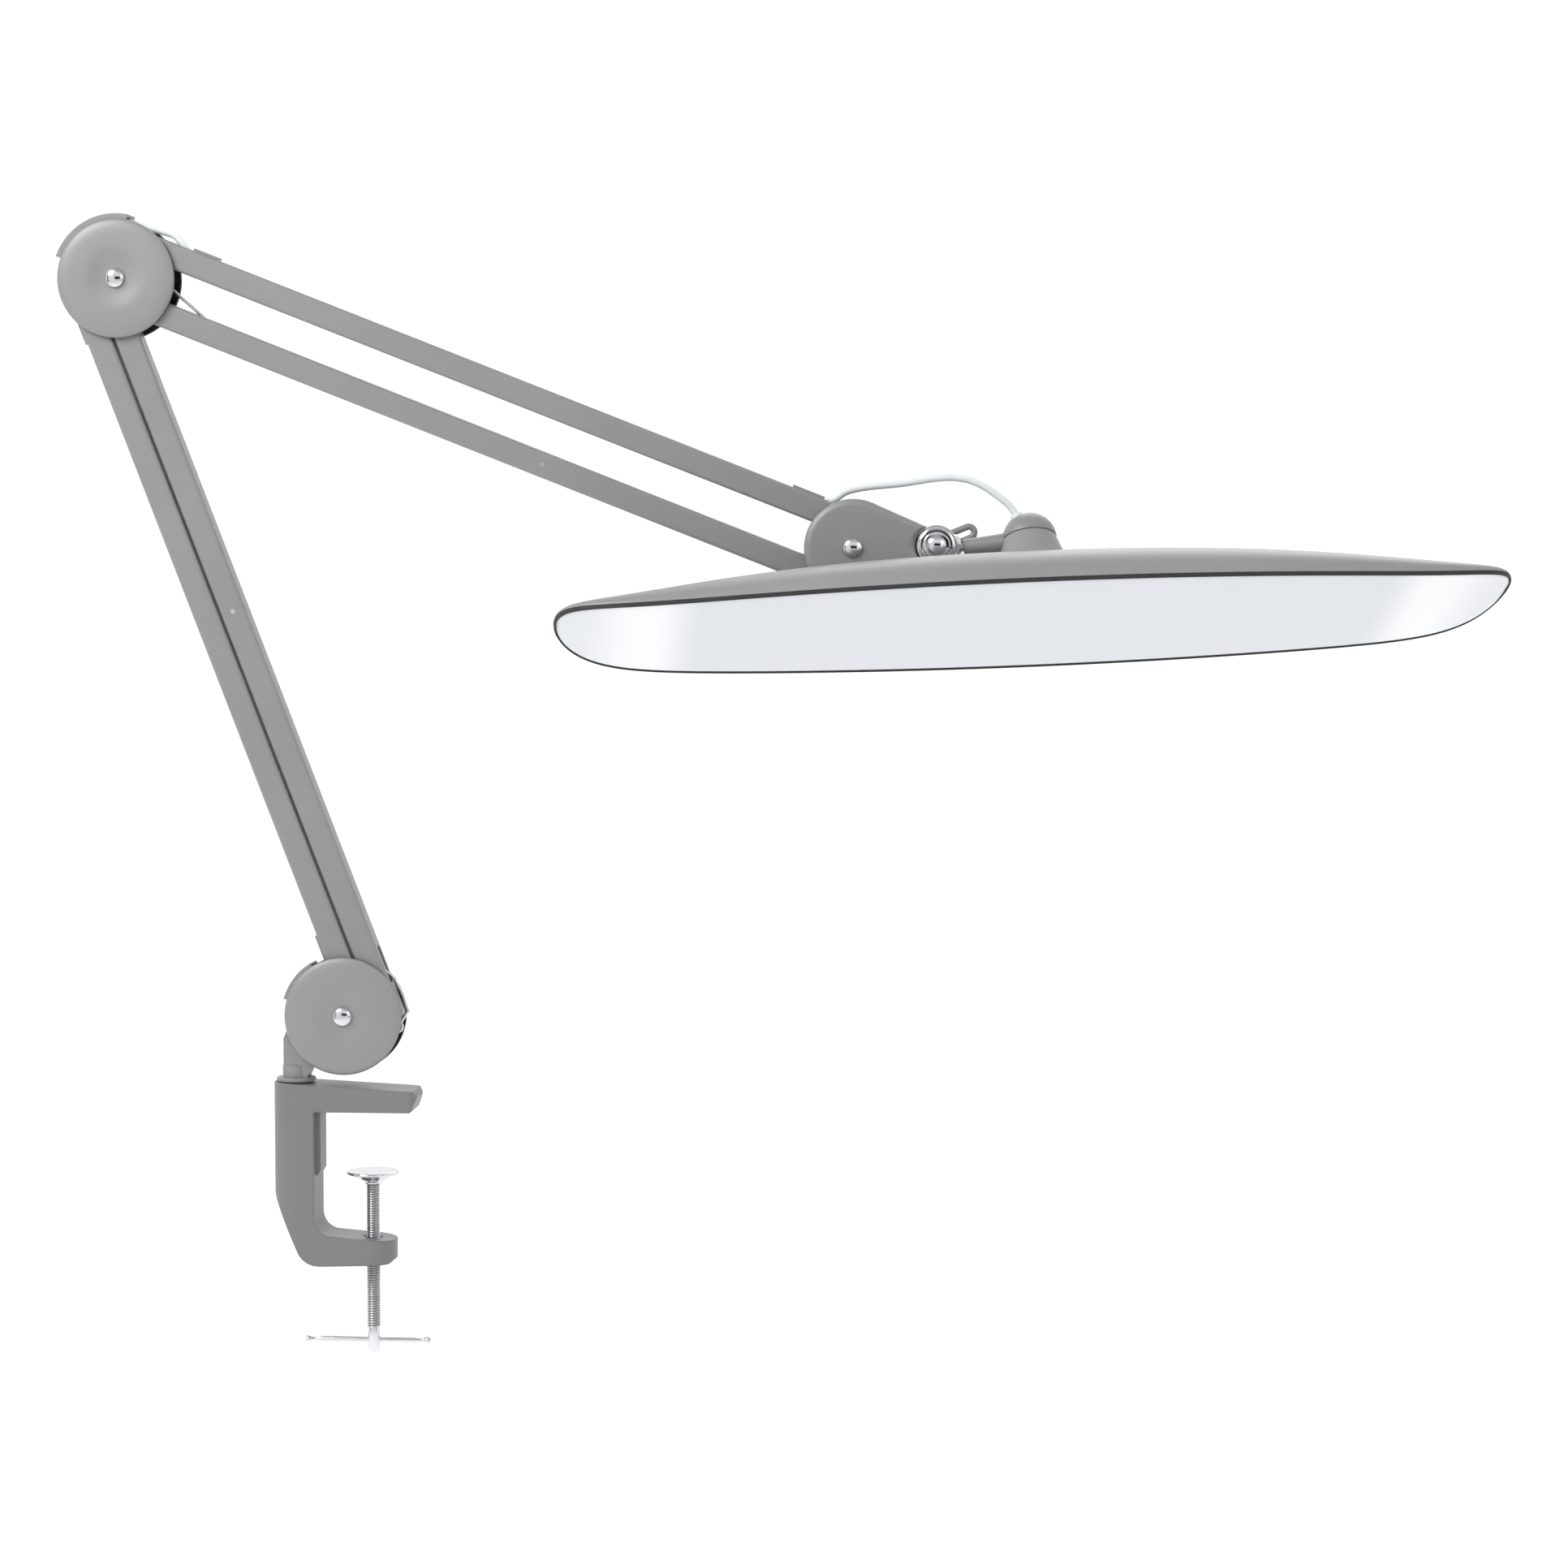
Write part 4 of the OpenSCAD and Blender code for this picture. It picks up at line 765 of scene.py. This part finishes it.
# %% [markdown]
# ## Domed heads
# A dome head is an ellipse over a short cylinder. The same profile serves every bolt and nut.
# %% Turn the bolts and nuts
def dome_head(seat, centre, side):
    """An ellipse 2.2 mm high over a rim of 0.6 mm, on its seat."""
    turn = np.linspace(0, np.pi / 2, 24)
    face = np.column_stack([5 * np.cos(turn), seat + 0.6 + 2.2 * np.sin(turn)])
    return turned([[0, seat], [4.7, seat], [5, seat + 0.2], *face], centre, (0, side, 0), RIGHT_WAY, 72)


def shaft(near, far, centre, radius):
    """A plain rod through a joint, from one seat to the other."""
    return turned([[0, -near], [radius, -near], [radius, far], [0, far]], centre, ROD_WAY, RIGHT_WAY, 48)


DISH_SEAT, END_SEAT, YOKE_SEAT = 10.1, 11.3, 11.1
for name, body, centre in (("base", "post", base_at), ("elbow", "elbow", elbow_at)):
    parts = [dome_head(DISH_SEAT, centre, -1), shaft(DISH_SEAT, DISH_SEAT, centre, 3)]
    bolt = piece(f"{name}_dome_bolt", parts, body, 40)
    nut = piece(f"{name}_dome_nut", [dome_head(DISH_SEAT, centre, 1)], body, 40)
    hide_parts(f"{name}_bolt")
    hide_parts(f"{name}_nut")
    coat_later |= {bolt: "chrome", nut: "chrome"}
end_dome = piece("end_dome_bolt", [
    dome_head(END_SEAT, end_at, -1), dome_head(END_SEAT, end_at, 1), shaft(11.2, 11.2, end_at, 3),
], "end", 40)
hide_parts("end_bolt")
tilt_dome = piece("tilt_dome_bolt", [
    dome_head(YOKE_SEAT, tilt_at, -1), shaft(YOKE_SEAT, YOKE_SEAT + 6, tilt_at, 2.5),
], "yoke", 40)
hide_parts("tilt_bolt")
coat_later |= {end_dome: "chrome", tilt_dome: "chrome"}

# %% [markdown]
# ## The wing nut
# The tilt is locked by a grey wing on the far side: a hub and two loops of rounded metal, one of which
# looks out past the yoke. Each loop is a rod bent along a racetrack.
# %% Bend the wing's loops
wing_tilt = np.radians(22)
wing_x = np.array([np.cos(wing_tilt), 0, np.sin(wing_tilt)])
wing_z = np.array([-np.sin(wing_tilt), 0, np.cos(wing_tilt)])


def racetrack(start, end, radius, count=20):
    """Two half circles joined by straight sides, as points along and across the wing."""
    return np.vstack([arc((end, 0.6), radius, -90, 90, count), arc((start, 0.6), radius, 90, 270, count)])


def wing_loop(start, end):
    """A round rod carried along a racetrack, on the wing's own tilted axes."""
    flat = racetrack(start, end, 2.9)
    centre = tilt_at + MM * (flat[:, :1] * wing_x + flat[:, 1:] * wing_z) + [0, 16.1 * MM, 0]
    return swept(centre, 1.75 * MM, 14, loop=True), True, True


hub_profile = [[0, 11.3], [5.4, 11.3], [6, 11.9], [6, 18.3], [5.2, 19.1], [2.6, 19.1], [0, 19.1]]
wing = piece("wing_loops", [turned(hub_profile, tilt_at, ROD_WAY, RIGHT_WAY, 64), wing_loop(6.5, 17.2),
                            wing_loop(-17.2, -6.5)], "wing", 40)
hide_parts("tilt_wing")
coat_later[wing] = "paint"

# %% [markdown]
# ## The tilt yoke
# The yoke is a chromed fork: two round cheeks with a stepped ring on each face, and a neck that takes the
# stem. Each cheek is turned; the neck is a short cone between them.
# %% Turn the yoke's cheeks and neck
cheek = [[0, 4.5], [10.4, 4.5], [10.4, 8.9], [10.0, 9.4], [9.4, 9.4], [9.1, 9.55], [8.2, 10.2], [7, 10.3],
         [6.6, 11.0], [6.2, YOKE_SEAT], [0, YOKE_SEAT]]
neck = [[0, -2.8], [7.4, -2.8], [7.0, -2.0], [5.4, -0.8], [4.4, 0], [0, 0]]
yoke = piece("chromed_yoke", [
    turned(cheek, tilt_at, (0, -1, 0), RIGHT_WAY, 96), turned(cheek, tilt_at, (0, 1, 0), RIGHT_WAY, 96),
    turned(neck, neck_at, stem_way, ROD_WAY, 64),
], "yoke", 30)
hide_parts("tilt_yoke")
coat_later[yoke] = "chrome"

# %% [markdown]
# ## Finish the CAD parts
# Each node keeps its CAD shape and gets the finish of its trade: paint, plate, oxide or plastic. The list
# is by finish, as a paint shop would hang the parts on its lines.
# %% Hang the parts on their lines
lines = {
    cover_paint: ["base_bracket", "post_flange", "base_guard", "elbow_guard", "base_cover_near",
                  "base_cover_far", "elbow_cover_near", "elbow_cover_far", "end_covers", "tilt_wing",
                  "stem_dome", "base_clip", "elbow_lower_clip", "elbow_upper_clip", "end_clip"],
    tube_paint: ["lower_rear_tube", "lower_front_tube", "upper_top_tube", "upper_bottom_tube"],
    cast_paint: ["clamp_frame"],
    shade_paint: ["shade_shell"],
    chrome: ["base_bolt", "base_nut", "elbow_bolt", "elbow_nut", "end_bolt", "tilt_bolt", "tilt_yoke",
             "pressure_pad", "clamp_screw", "turning_bar"],
    zinc: ["post_spindle", "base_pins", "elbow_pins", "end_pins", "base_spring_stud", "elbow_spring_stud",
           "lower_spring_pin", "upper_spring_pin", "roll_pin", "swivel_pin"],
    spring_wire: ["lower_spring", "upper_spring"],
    oxide: ["base_plates", "elbow_plates", "elbow_spacer", "end_tongue"],
    nylon: ["post_bush", "lower_rear_bushes", "lower_front_bushes", "upper_top_bushes", "upper_bottom_bushes",
            "led_tray"],
    cable: ["lower_lead", "upper_lead", "elbow_lead", "head_lead"],
    rubber: ["rim_gasket"],
    opal_acrylic: ["diffuser"],
    black_key: ["dimmer_button"],
}


def coat(target, material):
    """Give an object one material in place of all it had."""
    target.data.materials.clear()
    target.data.materials.append(material)


for material, names in lines.items():
    for name in names:
        coat(frame["nodes"][name], material)
slot_finish = {"shade": shade_paint, "paint": cover_paint, "gasket": rubber, "milk": opal_acrylic,
               "cable": cable, "chrome": chrome, "thread": thread_steel}
for made, slot in coat_later.items():
    coat(made, slot_finish[slot])
for made in leads:
    coat(made, cable)
coated = {name for names in lines.values() for name in names}
print("nodes without a finish:", sorted(set(frame["nodes"]) - coated))

# %% [markdown]
# ## The studio
# A pale bowl of paper stands all round the lamp. It is plain white from the front, and from behind its bend
# shows as a faint grey band. One soft light hangs to the upper left, weaker ones fill from the right and the
# back, and black cards, hidden from the camera itself, give the chrome something to reflect.
# %% Lay the paper and hang the lights
PAPER_LOW, PAPER_FLAT, PAPER_BEND, PAPER_TOP = -620, 3000, 1400, 4200
bend = np.linspace(0, np.pi / 2, 24)
paper_profile = np.vstack([
    [[0, PAPER_LOW]],
    np.column_stack([PAPER_FLAT + PAPER_BEND * np.sin(bend), PAPER_LOW + PAPER_BEND * (1 - np.cos(bend))]),
    [[PAPER_FLAT + PAPER_BEND, PAPER_TOP]],
])
paper_grid = turned(paper_profile, (0.2, 0, 0), (0, 0, 1), (1, 0, 0), 96)[0]
paper_mesh = bpy.data.meshes.new("paper")
paper_faces = patch_faces(*paper_grid.shape[:2], False, True)[:, ::-1]
paper_mesh.from_pydata(paper_grid.reshape(-1, 3), [], paper_faces)
paper_mesh.shade_smooth()
paper = bpy.data.objects.new("paper", paper_mesh)
bpy.context.scene.collection.objects.link(paper)

paper_finish = Finish("studio_paper", Roughness=0.9, Emission_Color=(1, 1, 1, 1), Emission_Strength=0.2)
fibre = paper_finish.noise(400, 2)
paper_finish.feed("Base Color", paper_finish.shade(fibre, (0.93, 0.93, 0.93), (0.95, 0.95, 0.95)))
coat(paper, paper_finish.material)


lamp_middle = Vector((0.2, 0, 0.2))


def soft_light(name, place, size, power):
    """A square area light at a place, turned to face the middle of the lamp."""
    lamp = bpy.data.lights.new(name, "AREA")
    lamp.size, lamp.energy = size, power
    hung = bpy.data.objects.new(name, lamp)
    bpy.context.scene.collection.objects.link(hung)
    hung.location = place
    hung.rotation_euler = (lamp_middle - hung.location).to_track_quat("-Z", "Y").to_euler()
    return hung


soft_light("key_light", (-0.95, -1.1, 1.35), 0.9, 24)
soft_light("fill_light", (1.9, -1.6, 0.9), 1.4, 5)
soft_light("back_light", (0.3, 1.9, 1.8), 1.6, 14)
world = bpy.data.worlds.new("studio_air")
world.use_nodes = True
world.node_tree.nodes["Background"].inputs["Color"].default_value = (1, 1, 1, 1)
world.node_tree.nodes["Background"].inputs["Strength"].default_value = 0.6
bpy.context.scene.world = world
bpy.context.scene.view_settings.view_transform = "Standard"


def black_card(name, place, wide, high):
    """A matt black card that stands beyond the lights and faces the lamp, for the chrome to reflect."""
    half_x, half_y = wide / 2, high / 2
    mesh = bpy.data.meshes.new(name)
    mesh.from_pydata([(-half_x, -half_y, 0), (half_x, -half_y, 0), (half_x, half_y, 0), (-half_x, half_y, 0)],
                     [], [(0, 1, 2, 3)])
    card = bpy.data.objects.new(name, mesh)
    bpy.context.scene.collection.objects.link(card)
    card.location = place
    card.rotation_euler = (lamp_middle - card.location).to_track_quat("Z", "Y").to_euler()
    card.visible_camera = False
    return card


card_finish = Finish("black_card", Roughness=0.9)
nap = card_finish.noise(300, 2)
card_finish.feed("Base Color", card_finish.shade(nap, (0.004, 0.004, 0.004), (0.012, 0.012, 0.012)))
cards = (("card_left", (-2.3, -1.5, 0.2), 0.5, 2.2), ("card_right", (2.4, -1.9, 0.1), 0.7, 2.0),
         ("card_front", (0.5, -3.4, 0.6), 2.2, 0.9))
for name, place, wide, high in cards:
    coat(black_card(name, place, wide, high), card_finish.material)
print("lights and cards hung")
